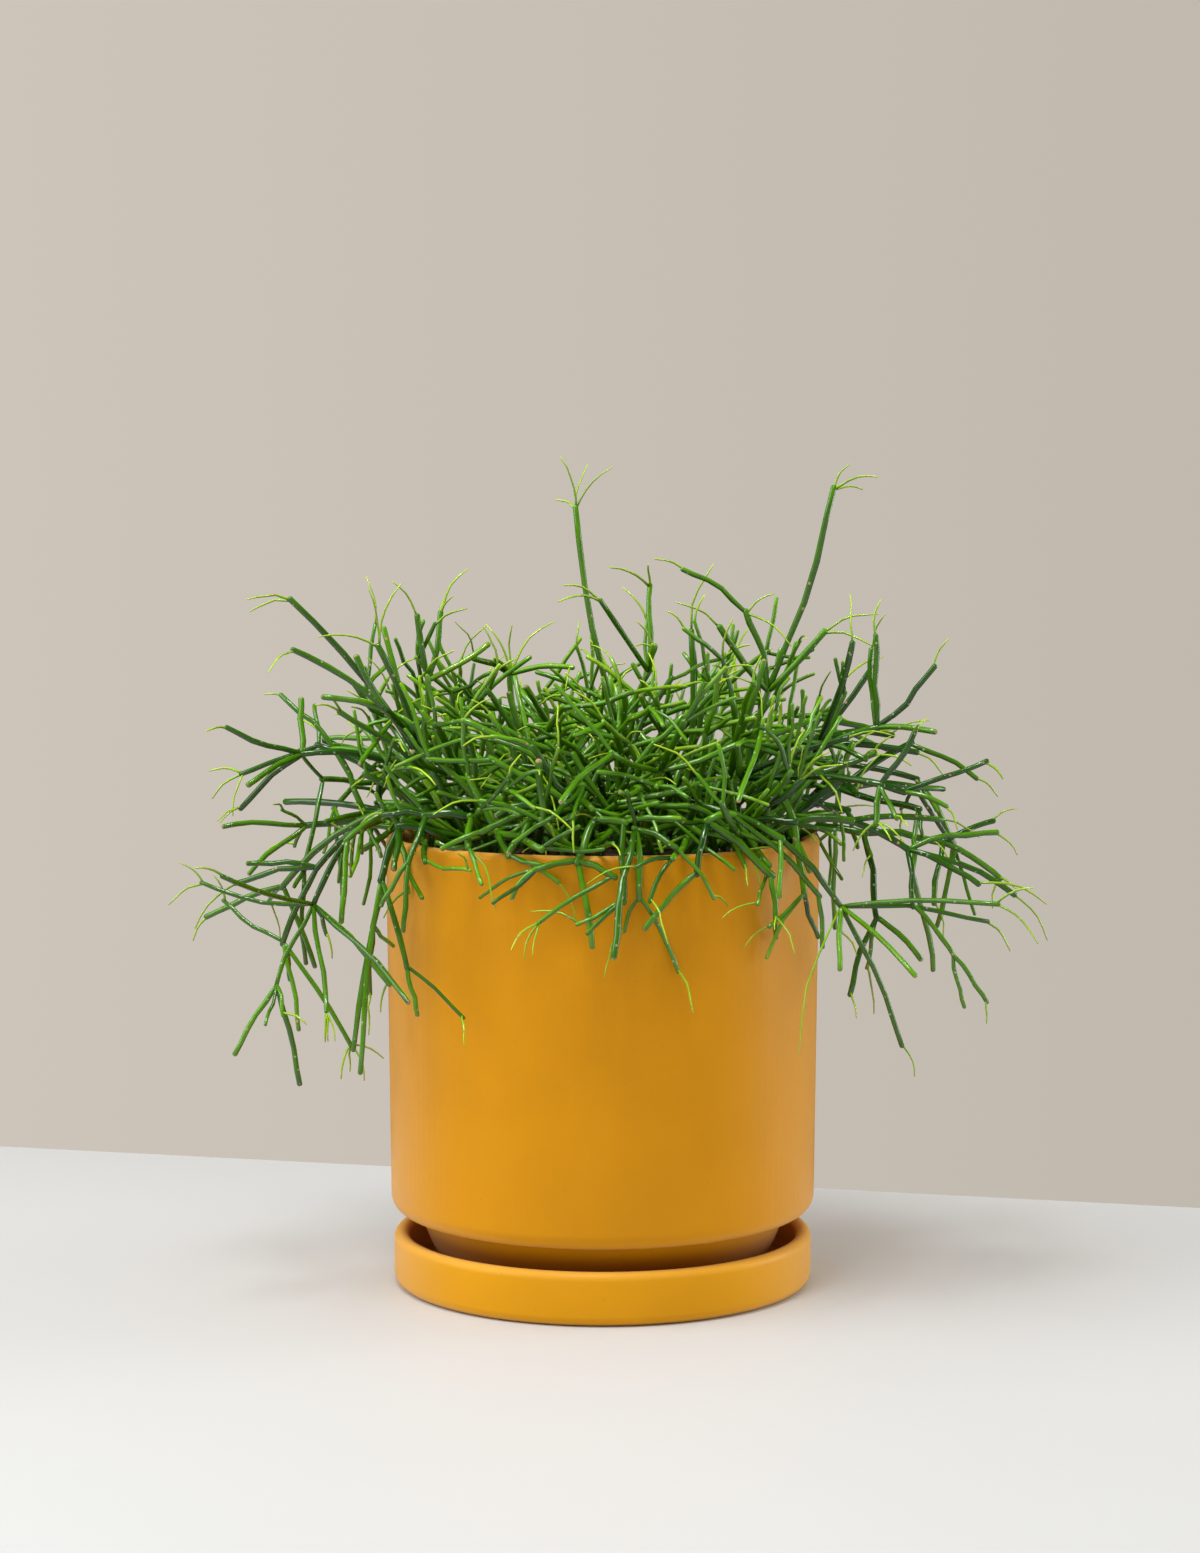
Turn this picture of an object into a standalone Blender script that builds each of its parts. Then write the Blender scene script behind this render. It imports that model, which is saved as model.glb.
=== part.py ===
"""Mistletoe cactus (Rhipsalis) growing in a straight ceramic pot that stands on its saucer.

The origin is the middle of the saucer's underside, +Z is up and -Y is the front. The pot, the saucer and the
potting mix are turned. Each rooted stem of the plant is one object: thin round joints that grow from each
other's tips in whorls, the outermost ones young shoots as thin as thread. Every one stands in its own plain
hole in the potting mix. The stems that give the plant its outline are drawn one by one, and seeded ones fill
the back, the middle and the gaps in the front. No two rooted stems touch.
"""

import itertools
import math
import random

import bmesh
import bpy
from mathutils import Vector
from mathutils.kdtree import KDTree

MM = 0.001
CLEARANCE = 0.3 * MM

# Saucer
SAUCER_RADIUS = 86.3 * MM
SAUCER_HEIGHT = 21.5 * MM
SAUCER_WALL = 6.4 * MM
SAUCER_FLOOR = 5.5 * MM
SAUCER_FOOT_ROUNDING = 4.5 * MM
SAUCER_INNER_ROUNDING = 4.0 * MM

# Pot: a straight body that tapers a little downwards, on a narrower bowl-shaped foot
POT_TOP = 185.0 * MM
POT_RIM_RADIUS = 89.0 * MM
POT_BODY_BOTTOM = 30.0 * MM
POT_BOTTOM_RADIUS = 87.4 * MM
POT_WALL = 6.0 * MM
POT_CORNER_ROUNDING = 7.0 * MM
FOOT_TOP_RADIUS = 76.0 * MM
FOOT_BASE_RADIUS = 62.0 * MM
FOOT_BULGE = 0.6
FOOT_WALL = 7.0 * MM
POT_FLOOR = 6.2 * MM
DRAIN_RADIUS = 6.0 * MM
POT_BASE = SAUCER_FLOOR + CLEARANCE
TURNED_STEPS = 40

# Potting mix: a very low cone that fills the pot
SOIL_MIDDLE = 181.0 * MM
SOIL_EDGE = 178.0 * MM
SOIL_RADIUS = POT_RIM_RADIUS - POT_WALL - CLEARANCE - 0.1 * MM
ROOT_DEPTH = 15.0 * MM
ROOT_HOLE_RADIUS = 2.25 * MM
ROOT_HOLE_SIDES = 6

# Plant
JOINT_RADII = [1.5 * MM, 1.4 * MM, 1.2 * MM, 1.05 * MM]
SHOOT_RADIUS = 0.6 * MM
TIP_TAPER = 0.65
NEARLY_STRAIGHT = 1.1 * MM
STRONG_BOW = 2.8 * MM
SINK = 1.3 * MM
RISE = 4.0 * MM
JOINT_ZONE = 7.0 * MM
STEM_GAP = 0.5 * MM
SAMPLE_STEP = 1.0 * MM
DEPTH_SHIFTS = [shift * MM for shift in (0, 3, -3, 6, -6, 9, -9, 13, -13, 17, -17, 22, -22)]
BOW_CHANGES = [change * MM for change in (0, 2, -2)]

# Seeded stems stand on rings of roots: each ring's name, radius, number of roots, and first and last angle
SEED = 7
RIM_RING = 68.0 * MM
FILL_RINGS = [
    ("back_rim", RIM_RING, 8, 4.0, 180.0),
    ("back", 46.0 * MM, 5, 12.0, 176.0),
    ("middle", 22.0 * MM, 4, 20.0, 290.0),
    ("front", 46.0 * MM, 4, 206.0, 334.0),
]
FILL_TRIES = 14
CROWN_HEIGHT = 268.0 * MM
CROWN_FALL = 0.35
PLANT_REACH = 158.0 * MM
LOWEST_TIP = 88.0 * MM


class Branch:
    """One joint of the cactus. It runs from its parent's tip to its own, and bow lifts its middle."""

    def __init__(self, tip, bow, branches, young=False):
        self.tip = tip
        self.bow = bow
        self.branches = branches
        self.young = young
        self.radius = SHOOT_RADIUS if young else JOINT_RADII[0]
        self.start = None
        self.middle = None

    def thin(self, level):
        """Take the thickness of a joint that stands on as many others as level says."""
        if not self.young:
            self.radius = JOINT_RADII[min(level, len(JOINT_RADII) - 1)]

    def point(self, part):
        """The point at part, 0 to 1, of the way along the arc."""
        rest = 1.0 - part
        return rest * rest * self.start + 2.0 * rest * part * self.middle + part * part * self.tip

    def aim(self, start, tip):
        """Draw the arc anew between two points, with its middle off the chord on its upper side."""
        chord = tip - start
        across = chord.cross(Vector((0.0, 0.0, 1.0)))
        if across.length < 0.05 * chord.length:
            across = chord.cross(Vector((start.x, start.y, 0.0)))
        lift = across.cross(chord).normalized()
        self.start = start
        self.tip = tip
        self.middle = (start + tip) / 2.0 + 2.0 * self.bow * lift

    def route(self):
        """The few points that the tube follows: more of them where it bows more."""
        if self.young or abs(self.bow) < NEARLY_STRAIGHT:
            return [self.start, self.tip]
        parts = (0.0, 0.33, 0.68, 1.0) if abs(self.bow) > STRONG_BOW else (0.0, 0.5, 1.0)
        return [self.point(part) for part in parts]

    def direction(self):
        return (self.tip - self.middle).normalized()


def stem(x, y, z, bow, *branches):
    """A grown joint with its tip at x, y, z, in mm, and what grows from that tip."""
    return Branch(Vector((x, y, z)) * MM, bow * MM, list(branches))


def shoot(x, y, z):
    """A young, thread-thin joint with its tip at x, y, z, in mm."""
    return Branch(Vector((x, y, z)) * MM, 0.0, [], young=True)


# The drawn stems: for each the root's x and y on the soil, in mm, and the joints that grow from it
DRAWN_SPRAYS = {
    "left_arch": (-60, -22, stem(
        -72, -22, 215, 0,
        stem(-123, -52, 283, 3.5, shoot(-139, -60, 283), shoot(-139, -50, 278)),
        stem(
            -70, -30, 251, 0.5,
            stem(-74, -34, 276, -0.5), stem(-65, -26, 277, -1), stem(-46, -22, 264, -1)),
        stem(-105, -40, 238, 2.5))),
    "left_fork": (-52, -40, stem(
        -73, -42, 225, 0,
        stem(-88, -60, 265, 1.5, shoot(-91, -66, 287), shoot(-79, -58, 289), shoot(-110, -74, 269)),
        stem(-87, -48, 271, -1), stem(-96, -66, 261, -1),
        stem(-84, -68, 241, 1, stem(-108, -80, 246, 1), stem(-118, -96, 265, 2, shoot(-126, -108, 257))))),
    "left_shelf": (-66, 0, stem(
        -79, -2, 214, 0,
        stem(
            -123, -16, 219, 2.5,
            stem(-151, -30, 231, -1), stem(-142, -34, 208, 1), stem(-148, -8, 196, 1.5),
            stem(-123, -6, 241, -1)),
        stem(-112, 12, 219, 2, stem(-134, 22, 241, 1, shoot(-141, 24, 241)), stem(-99, 10, 194, 0.5)))),
    "left_core": (-44, -8, stem(
        -61, -10, 218, 0,
        stem(-61, -14, 245, 1, stem(-75, -26, 259, -1), shoot(-87, -34, 232)),
        stem(-54, -20, 238, 1, shoot(-61, -36, 231), stem(-43, -24, 253, -1)),
        stem(-85, -30, 235, 1.5, stem(-99, -40, 249, -1)))),
    "left_whorl": (-34, 4, stem(
        -37, 2, 224, 0,
        stem(
            -38, 0, 252, 0,
            shoot(-48, 4, 271), shoot(-37, -4, 271), shoot(-20, 8, 272),
            stem(-12, -12, 254, 1.5, shoot(-15, -20, 245)), stem(-52, -20, 258, 1, shoot(-59, -28, 273))))),
    "left_low_whorl": (-26, -20, stem(
        -32, -24, 222, 0,
        stem(-46, -34, 246, 1, shoot(-50, -38, 250)), stem(-15, -34, 229, 1.5, stem(10, -44, 226, 1.5)),
        shoot(-17, -76, 194), shoot(-48, -58, 209))),
    "middle_tall": (6, 0, stem(
        6, -2, 232, 0,
        stem(
            -11, -14, 319, -3,
            shoot(-17, -18, 339), shoot(-6, -8, 336), shoot(4, -16, 335), shoot(-19, -6, 322)),
        stem(3, 6, 249, -0.5))),
    "middle_crown": (14, -18, stem(
        9, -22, 222, 0,
        stem(-7, -30, 239, 1, shoot(-15, -34, 253)),
        stem(
            19, -30, 254, 1.5,
            stem(21, -34, 264, 0.5, shoot(13, -40, 264)),
            stem(-1, -70, 283, 2, shoot(-15, -80, 289), shoot(-17, -88, 283)),
            stem(19, -24, 288, 1, shoot(3, -36, 295), shoot(18, -34, 296))))),
    "middle_right": (30, -8, stem(
        36, -10, 220, 0,
        stem(36, -8, 269, 1, shoot(45, -10, 296)), stem(42, -20, 260, -0.5), stem(16, -24, 242, -1),
        stem(24, -34, 229, 1, stem(45, -44, 247, -1), stem(21, -46, 244, -0.5), stem(60, -50, 236, -1)))),
    "right_crown": (52, 2, stem(
        68, -4, 245, 1,
        stem(93, -18, 327, -2, shoot(99, -20, 336), shoot(110, -26, 331), shoot(105, -12, 326)),
        stem(90, -14, 269, 1.5, shoot(111, -18, 276), shoot(109, -22, 263)),
        stem(
            58, -8, 277, 1.5,
            stem(32, -14, 294, 2, shoot(21, -16, 298)), shoot(70, -8, 284), shoot(76, -18, 263)),
        stem(47, -20, 271, -1))),
    "right_fan": (60, -18, stem(
        86, -22, 221, 1,
        stem(
            111, -30, 231, 1.5,
            stem(109, -32, 268, 1, shoot(111, -32, 282)), stem(108, -24, 262, -1),
            stem(132, -40, 256, -1.5, shoot(137, -44, 267)), stem(132, -44, 230, 1)),
        stem(97, -30, 245, -1), stem(98, -50, 266, -1))),
    "right_back_fan": (66, 14, stem(
        87, 14, 222, 1,
        stem(112, 18, 253, -1), stem(130, 8, 218, 1.5, shoot(141, 6, 208)), stem(101, 24, 248, -1),
        stem(121, 22, 224, 1, shoot(137, 26, 230)))),
    "right_step": (44, -30, stem(
        55, -34, 212, 1,
        stem(97, -48, 228, 1.5, shoot(115, -54, 229)), stem(109, -36, 221, -1.5),
        stem(109, -70, 211, 2, stem(121, -76, 233, -1), stem(106, -76, 196, 0)),
        stem(65, -54, 226, -0.5), stem(51, -46, 243, 1, stem(47, -50, 260, 0.5, shoot(51, -54, 275))))),
    "right_shelf": (70, -30, stem(
        96, -40, 212, 2,
        stem(
            120, -46, 206, 1,
            stem(136, -52, 201, 1, shoot(140, -54, 192)), stem(152, -50, 219, -0.5, shoot(158, -52, 212)),
            stem(137, -30, 206, 1)),
        stem(100, -60, 206, 0.5, shoot(109, -62, 223)))),
    "right_arm": (30, -52, stem(
        38, -66, 204, 2,
        stem(
            70, -74, 190, 1.5,
            stem(
                94, -66, 162, 1.5,
                stem(151, -100, 168, 1.5, shoot(165, -108, 154), shoot(163, -106, 175)),
                stem(153, -50, 155, 2, shoot(162, -48, 143)), stem(119, -104, 141, 1.5),
                stem(118, -62, 107, 1.5, shoot(123, -62, 95)), stem(92, -80, 140, 0),
                shoot(76, -86, 108)),
            stem(68, -86, 169, 1)))),
    "right_back_arm": (60, -42, stem(
        99, -50, 195, 6,
        stem(
            122, -48, 183, 1,
            stem(164, -46, 165, 2.5, shoot(177, -46, 147)),
            stem(148, -60, 171, 1.5, shoot(175, -58, 163)), stem(157, -44, 190, 2, shoot(165, -44, 181)),
            stem(122, -62, 162, 1, stem(138, -66, 143, 1, stem(151, -66, 125, 0.5)))),
        stem(136, -34, 194, 1.5, shoot(151, -34, 187)))),
    "right_drop": (74, -8, stem(
        107, -20, 187, 4,
        stem(
            139, -20, 183, 1.5,
            stem(159, -16, 192, 1, shoot(168, -16, 197)), stem(161, -24, 169, 1.5),
            stem(133, -34, 160, 1)),
        stem(110, -36, 154, 1, stem(99, -40, 124, 1), stem(127, -44, 139, 1)))),
    "front_right": (20, -64, stem(
        12, -88, 196, 2,
        stem(14, -93, 169, 0.5), stem(28, -94, 189, 1), stem(4, -103, 150, 1))),
    "front_right_low": (44, -58, stem(
        40, -80, 198, 3,
        stem(36, -90, 178, 1, stem(16, -96, 158, 1)), stem(66, -80, 176, 1, stem(67, -82, 160, 0.5)),
        stem(51, -62, 200, 1, stem(85, -68, 167, 1.5, stem(86, -68, 147, 0.5))))),
    "front_middle": (-6, -62, stem(
        -3, -84, 199, 3,
        stem(
            -10, -94, 183, 0.5,
            stem(-26, -98, 181, 0.5), stem(5, -98, 178, 0.5, stem(-25, -104, 161, 0.5)),
            stem(-4, -97, 151, 0.5)),
        stem(9, -88, 198, 0.5, stem(8, -97, 168, 0.5)))),
    "front_left": (-26, -60, stem(
        -23, -78, 203, 2,
        stem(-47, -84, 194, 1, stem(-62, -88, 188, 0.5)), stem(-36, -92, 187, 1),
        stem(-41, -80, 200, 0.5))),
    "front_left_low": (-44, -52, stem(
        -52, -70, 199, 2,
        stem(
            -70, -70, 199, 1,
            stem(-75, -84, 182, 0.5, stem(-77, -88, 156, 0.5), stem(-86, -80, 165, 0.5)),
            stem(-86, -64, 199, 1)),
        stem(-52, -86, 188, 0.5, shoot(-41, -96, 166), stem(-64, -88, 190, 0.5)))),
    "left_arm": (-62, -36, stem(
        -81, -42, 201, 3,
        stem(
            -102, -50, 187, 1.5,
            stem(
                -115, -52, 161, 1,
                stem(-145, -102, 179, -1.5, shoot(-154, -110, 183)),
                stem(-160, -44, 170, -3, shoot(-173, -44, 161), shoot(-168, -46, 178)),
                stem(-129, -60, 130, 1, stem(-145, -64, 104, 0.5), stem(-120, -58, 91, 0.5)),
                stem(-106, -96, 126, 0.5), stem(-74, -106, 131, 1.5), stem(-84, -60, 131, 1.5)),
            stem(-103, -66, 156, 1.5)))),
    "left_back_arm": (-74, -16, stem(
        -87, -20, 198, 3,
        stem(
            -116, -24, 173, 1.5,
            stem(-150, -14, 166, 1.5, shoot(-166, -16, 148)), stem(-143, -30, 176, 1),
            stem(
                -130, -22, 142, 1,
                stem(-123, -28, 108, 1), stem(-101, -34, 102, 1), stem(-155, -12, 159, -1))),
        stem(-132, -4, 163, 2, stem(-164, 4, 150, 1), stem(-118, -8, 131, 0.5)))),
    "left_eaves": (-70, 14, stem(
        -92, 12, 193, 4,
        stem(-124, 8, 187, 1.5, stem(-156, 0, 188, 1), stem(-146, 4, 168, 1)), stem(-134, 36, 195, 1.5),
        stem(-113, -10, 191, 0.5, shoot(-102, -14, 179)))),
    "left_fringe": (-56, -50, stem(
        -81, -60, 194, 3,
        stem(-87, -68, 173, 0.5, stem(-76, -78, 140, 1, stem(-72, -80, 122, 0)), stem(-95, -72, 98, 1)),
        stem(-91, -58, 153, 1, stem(-99, -54, 104, 0.5)), stem(-81, -78, 179, 0.5))),
}


def arc(centre_x, centre_z, radius, first, last, count):
    """Points of a round stretch of a profile, between two angles in degrees."""
    angles = [math.radians(first + (last - first) * step / count) for step in range(count + 1)]
    return [(centre_x + radius * math.cos(turn), centre_z + radius * math.sin(turn)) for turn in angles]


def saucer_profile():
    lip = SAUCER_WALL / 2.0
    inner = SAUCER_RADIUS - SAUCER_WALL
    rounding = SAUCER_INNER_ROUNDING
    foot = SAUCER_FOOT_ROUNDING
    return [
        (0.0, SAUCER_FLOOR),
        *arc(inner - rounding, SAUCER_FLOOR + rounding, rounding, -90.0, 0.0, 2),
        *arc(SAUCER_RADIUS - lip, SAUCER_HEIGHT - lip, lip, 180.0, 0.0, 4),
        *arc(SAUCER_RADIUS - foot, foot, foot, 0.0, -90.0, 2),
        (0.0, 0.0),
    ]


def foot_radius(z):
    """The bowl-shaped foot's radius at height z."""
    part = (z - POT_BASE) / (POT_BODY_BOTTOM - POT_BASE)
    return FOOT_BASE_RADIUS + (FOOT_TOP_RADIUS - FOOT_BASE_RADIUS) * part**FOOT_BULGE


def inner_profile(shrink):
    """The pot's inside from its floor up to under its rim, moved inwards by shrink."""
    floor = POT_BASE + POT_FLOOR + shrink
    lip = POT_WALL / 2.0
    low = POT_BODY_BOTTOM + POT_WALL
    points = []
    for part in (0.0, 0.35, 1.0):
        z = floor + (POT_BODY_BOTTOM - floor) * part
        points.append((foot_radius(z - shrink) - FOOT_WALL - shrink, z))
    points.append((POT_BOTTOM_RADIUS - POT_WALL - shrink, low + POT_WALL))
    points.append((POT_RIM_RADIUS - POT_WALL - shrink, POT_TOP - lip))
    return points


def pot_profile():
    """A closed section: over the rim, down the outside, in under the foot, up the drain and up the inside."""
    lip = POT_WALL / 2.0
    corner = POT_CORNER_ROUNDING
    foot_top = POT_BODY_BOTTOM
    rim = arc(POT_RIM_RADIUS - lip, POT_TOP - lip, lip, 180.0, 0.0, 4)
    body = arc(POT_BOTTOM_RADIUS - corner, foot_top + corner, corner, 0.0, -90.0, 3)
    foot = []
    for part in (1.0, 0.5, 0.15, 0.0):
        z = POT_BASE + (foot_top - POT_BASE) * part
        foot.append((foot_radius(z), z))
    drain = [(DRAIN_RADIUS, POT_BASE), (DRAIN_RADIUS, POT_BASE + POT_FLOOR)]
    return rim + body + foot + drain + inner_profile(0.0)[:-1]


def soil_profile():
    side = inner_profile(CLEARANCE)[:-1]
    side.reverse()
    return [(0.0, SOIL_MIDDLE), (SOIL_RADIUS, SOIL_EDGE), *side, (0.0, side[-1][1])]


def soil_top(x, y):
    """Height of the potting mix at x, y."""
    return SOIL_MIDDLE + (SOIL_EDGE - SOIL_MIDDLE) * math.hypot(x, y) / SOIL_RADIUS


def material(name, colour, roughness):
    made = bpy.data.materials.new(name)
    made.use_nodes = True
    shader = made.node_tree.nodes["Principled BSDF"]
    shader.inputs["Base Color"].default_value = (*colour, 1.0)
    shader.inputs["Roughness"].default_value = roughness
    return made


def turned(name, profile, closed, collection):
    """A body turned round the Z axis from a profile in the XZ plane."""
    mesh = bpy.data.meshes.new(name)
    edges = [(index, index + 1) for index in range(len(profile) - 1)]
    if closed:
        edges.append((len(profile) - 1, 0))
    mesh.from_pydata([(x, 0.0, z) for x, z in profile], edges, [])
    made = bpy.data.objects.new(name, mesh)
    collection.objects.link(made)
    screw = made.modifiers.new("Turn", "SCREW")
    screw.axis = "Z"
    screw.steps = TURNED_STEPS
    screw.render_steps = TURNED_STEPS
    screw.use_merge_vertices = True
    screw.merge_threshold = 0.00001
    screw.use_smooth_shade = True
    return made


def tube(name, points, radius, end_factors, collection):
    """A capped four-sided tube along the points, as a mesh. The factors thin its first and last ring."""
    curve = bpy.data.curves.new("path", "CURVE")
    curve.dimensions = "3D"
    curve.bevel_depth = radius
    curve.bevel_resolution = 0
    curve.use_fill_caps = True
    spline = curve.splines.new("POLY")
    spline.points.add(len(points) - 1)
    for knot, point in zip(spline.points, points):
        knot.co = (*point, 1.0)
        knot.radius = 1.0
    spline.points[0].radius = end_factors[0]
    spline.points[-1].radius = end_factors[1]
    drawn = bpy.data.objects.new("path", curve)
    collection.objects.link(drawn)
    graph = bpy.context.evaluated_depsgraph_get()
    mesh = bpy.data.meshes.new_from_object(drawn.evaluated_get(graph))
    shell = bmesh.new()
    shell.from_mesh(mesh)
    bmesh.ops.remove_doubles(shell, verts=shell.verts, dist=0.00001)
    bmesh.ops.recalc_face_normals(shell, faces=shell.faces)
    shell.to_mesh(mesh)
    shell.free()
    made = bpy.data.objects.new(name, mesh)
    made.matrix_world = drawn.matrix_world
    bpy.data.objects.remove(drawn)
    collection.objects.link(made)
    return made


def wall_distance(point):
    """How far a point is from the pot's upright wall and rounded rim."""
    out = math.hypot(point.x, point.y)
    half = POT_WALL / 2.0
    top = Vector((POT_RIM_RADIUS - half, POT_TOP - half))
    foot = Vector((POT_BOTTOM_RADIUS - half, POT_BODY_BOTTOM))
    along = top - foot
    here = Vector((out, point.z)) - foot
    part = min(max(here.dot(along) / along.length_squared, 0.0), 1.0)
    return (here - part * along).length - half


class Space:
    """The room that the stems have: clear of the pot, the soil and every stem of another root."""

    def __init__(self):
        self.taken = []
        self.tree = None
        self.own = []

    def samples(self, points):
        """Points no more than SAMPLE_STEP apart along a route."""
        found = []
        for start, end in zip(points, points[1:]):
            count = max(1, math.ceil((end - start).length / SAMPLE_STEP))
            found.extend(start.lerp(end, step / count) for step in range(count))
        found.append(points[-1])
        return found

    def free(self, points, radius, joint):
        """Whether a tube along the points is clear. Near the joint it may meet its own root's stems."""
        margin = radius + STEM_GAP
        for point in self.samples(points):
            if wall_distance(point) < margin:
                return False
            inside = math.hypot(point.x, point.y) < POT_RIM_RADIUS
            if inside and point.z < soil_top(point.x, point.y) + margin:
                return False
            for _, index, distance in self.tree.find_range(point, margin + JOINT_RADII[0]):
                if distance < margin + self.taken[index][1]:
                    return False
            if (point - joint).length < JOINT_ZONE:
                continue
            for place, thick in self.own:
                if (point - place).length_squared < (margin + thick) ** 2:
                    return False
        return True

    def hold(self, points, radius):
        """Take the room of a tube for the root that is growing now."""
        self.own.extend((point, radius) for point in self.samples(points))

    def close(self):
        """End the root that is growing now, so that the next ones keep clear of it."""
        self.taken.extend(self.own)
        self.own = []
        self.tree = KDTree(max(1, len(self.taken)))
        for index, (point, _) in enumerate(self.taken):
            self.tree.insert(point, index)
        self.tree.balance()


def grow(branch, start, heading, level, space):
    """Place a drawn joint and what it bears. It leans back or forward, or bows more or less, to stay clear."""
    branch.thin(level)
    wanted = branch.tip
    bow = branch.bow
    root = start - SINK * heading
    for shift, change in itertools.product(DEPTH_SHIFTS, BOW_CHANGES):
        branch.bow = bow + change
        branch.aim(root, wanted + Vector((0.0, shift, 0.0)))
        if space.free(branch.route(), branch.radius, start):
            break
    else:
        return False
    space.hold(branch.route(), branch.radius)
    branch.branches = [
        child for child in branch.branches
        if grow(child, branch.tip, branch.direction(), level + 1, space)
    ]
    return True


def root_route(x, y):
    """The upright end of a stem that stands in the potting mix."""
    top = soil_top(x, y)
    return [Vector((x, y, top - ROOT_DEPTH)), Vector((x, y, top + RISE))]


def grow_rooted(x, y, first, space):
    """Grow a whole rooted stem from its place on the soil. It says whether there was room."""
    foot = root_route(x, y)[1]
    first.aim(foot, first.tip)
    route = [foot + Vector((0.0, 0.0, first.radius)), *first.route()[1:]]
    if not space.free(route, first.radius, foot):
        return False
    space.hold([foot, *first.route()[1:]], first.radius)
    first.branches = [
        child for child in first.branches if grow(child, first.tip, first.direction(), 1, space)
    ]
    space.close()
    return True


def turned_direction(azimuth, elevation):
    level = math.cos(elevation)
    return Vector((level * math.cos(azimuth), level * math.sin(azimuth), math.sin(elevation)))


def in_crown(tip):
    """Whether a seeded tip keeps inside the plant's own outline."""
    out = math.hypot(tip.x, tip.y)
    return out < PLANT_REACH and LOWEST_TIP < tip.z < CROWN_HEIGHT - CROWN_FALL * out


def seeded_branch(parent, azimuth, elevation, level, last, edge, draw, space):
    """Grow one seeded joint and what it bears. edge is 0 in the pot's middle and 1 at its rim."""
    for _ in range(FILL_TRIES):
        turn = azimuth + draw.uniform(-0.5, 0.5)
        climb = elevation + draw.uniform(-0.35, 0.35)
        length = draw.uniform(30.0, 50.0) * MM
        tip = parent.tip + length * turned_direction(turn, climb)
        branch = Branch(tip, draw.uniform(-1.4, 2.4) * MM, [])
        branch.thin(level)
        branch.aim(parent.tip - SINK * parent.direction(), tip)
        if in_crown(tip) and space.free(branch.route(), branch.radius, parent.tip):
            break
    else:
        return None
    space.hold(branch.route(), branch.radius)
    if level < last:
        fork = turn + draw.uniform(-0.7, 0.7)
        drop = climb - edge * draw.uniform(0.5, 0.9)
        child = seeded_branch(branch, fork, drop, level + 1, last, edge, draw, space)
        if child:
            branch.branches.append(child)
    return branch


def seeded_spray(x, y, draw, space):
    """Grow one seeded rooted stem: upright from the middle, over the rim and down from the edge."""
    edge = min(math.hypot(x, y) / RIM_RING, 1.0)
    out = math.atan2(y, x) + draw.uniform(-0.2, 0.2)
    lean = (5.0 + 26.0 * edge * edge) * MM
    height = (draw.uniform(216.0, 238.0) - 16.0 * edge) * MM
    tip = Vector((x + lean * math.cos(out), y + lean * math.sin(out), height))
    first = Branch(tip, 2.0 * MM * edge, [])
    foot = root_route(x, y)[1]
    first.aim(foot, tip)
    route = [foot + Vector((0.0, 0.0, first.radius)), *first.route()[1:]]
    if not space.free(route, first.radius, foot):
        return None
    space.hold([foot, *first.route()[1:]], first.radius)
    for index in range(3):
        azimuth = out + (index - 1.0) * (1.9 - 1.0 * edge)
        elevation = 1.15 - 1.0 * edge + (0.6 * edge if index == 1 else 0.0)
        last = 3 if edge > 0.8 and index != 1 else 2
        child = seeded_branch(first, azimuth, elevation, 1, last, edge, draw, space)
        if child:
            first.branches.append(child)
    space.close()
    return first


def plan_plant():
    """Every rooted stem by name, as its root's x and y and its first joint."""
    space = Space()
    space.close()
    sprays = {}
    for name, (x, y, first) in DRAWN_SPRAYS.items():
        if grow_rooted(x * MM, y * MM, first, space):
            sprays["stem_" + name] = (x * MM, y * MM, first)
    draw = random.Random(SEED)
    for ring, radius, count, first_angle, last_angle in FILL_RINGS:
        for index in range(count):
            turn = math.radians(first_angle + (last_angle - first_angle) * index / (count - 1))
            x = radius * math.cos(turn)
            y = radius * math.sin(turn)
            first = seeded_spray(x, y, draw, space)
            if first:
                sprays[f"stem_{ring}_{index + 1}"] = (x, y, first)
    return sprays


def branch_tubes(branch, collection, tubes):
    tubes.append(tube("joint", branch.route(), branch.radius, (0.9, TIP_TAPER), collection))
    for child in branch.branches:
        branch_tubes(child, collection, tubes)


def build_spray(name, x, y, first, collection, look):
    """One rooted stem as one closed body: its trunk, united with all the joints that it bears."""
    joints = bpy.data.collections.new(name + "_joints")
    bpy.context.scene.collection.children.link(joints)
    trunk_points = root_route(x, y) + first.route()[1:]
    trunk = tube(name, trunk_points, first.radius, (1.0, 0.9), collection)
    tubes = []
    for child in first.branches:
        branch_tubes(child, joints, tubes)
    if tubes:
        join = trunk.modifiers.new("Join", "BOOLEAN")
        join.operation = "UNION"
        join.solver = "EXACT"
        join.operand_type = "COLLECTION"
        join.collection = joints
        bpy.context.view_layer.objects.active = trunk
        bpy.ops.object.modifier_apply(modifier=join.name)
    for joint in tubes:
        bpy.data.objects.remove(joint)
    bpy.data.collections.remove(joints)
    trunk.data.materials.clear()
    trunk.data.materials.append(look)
    trunk.data.shade_smooth()
    return trunk


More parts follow.
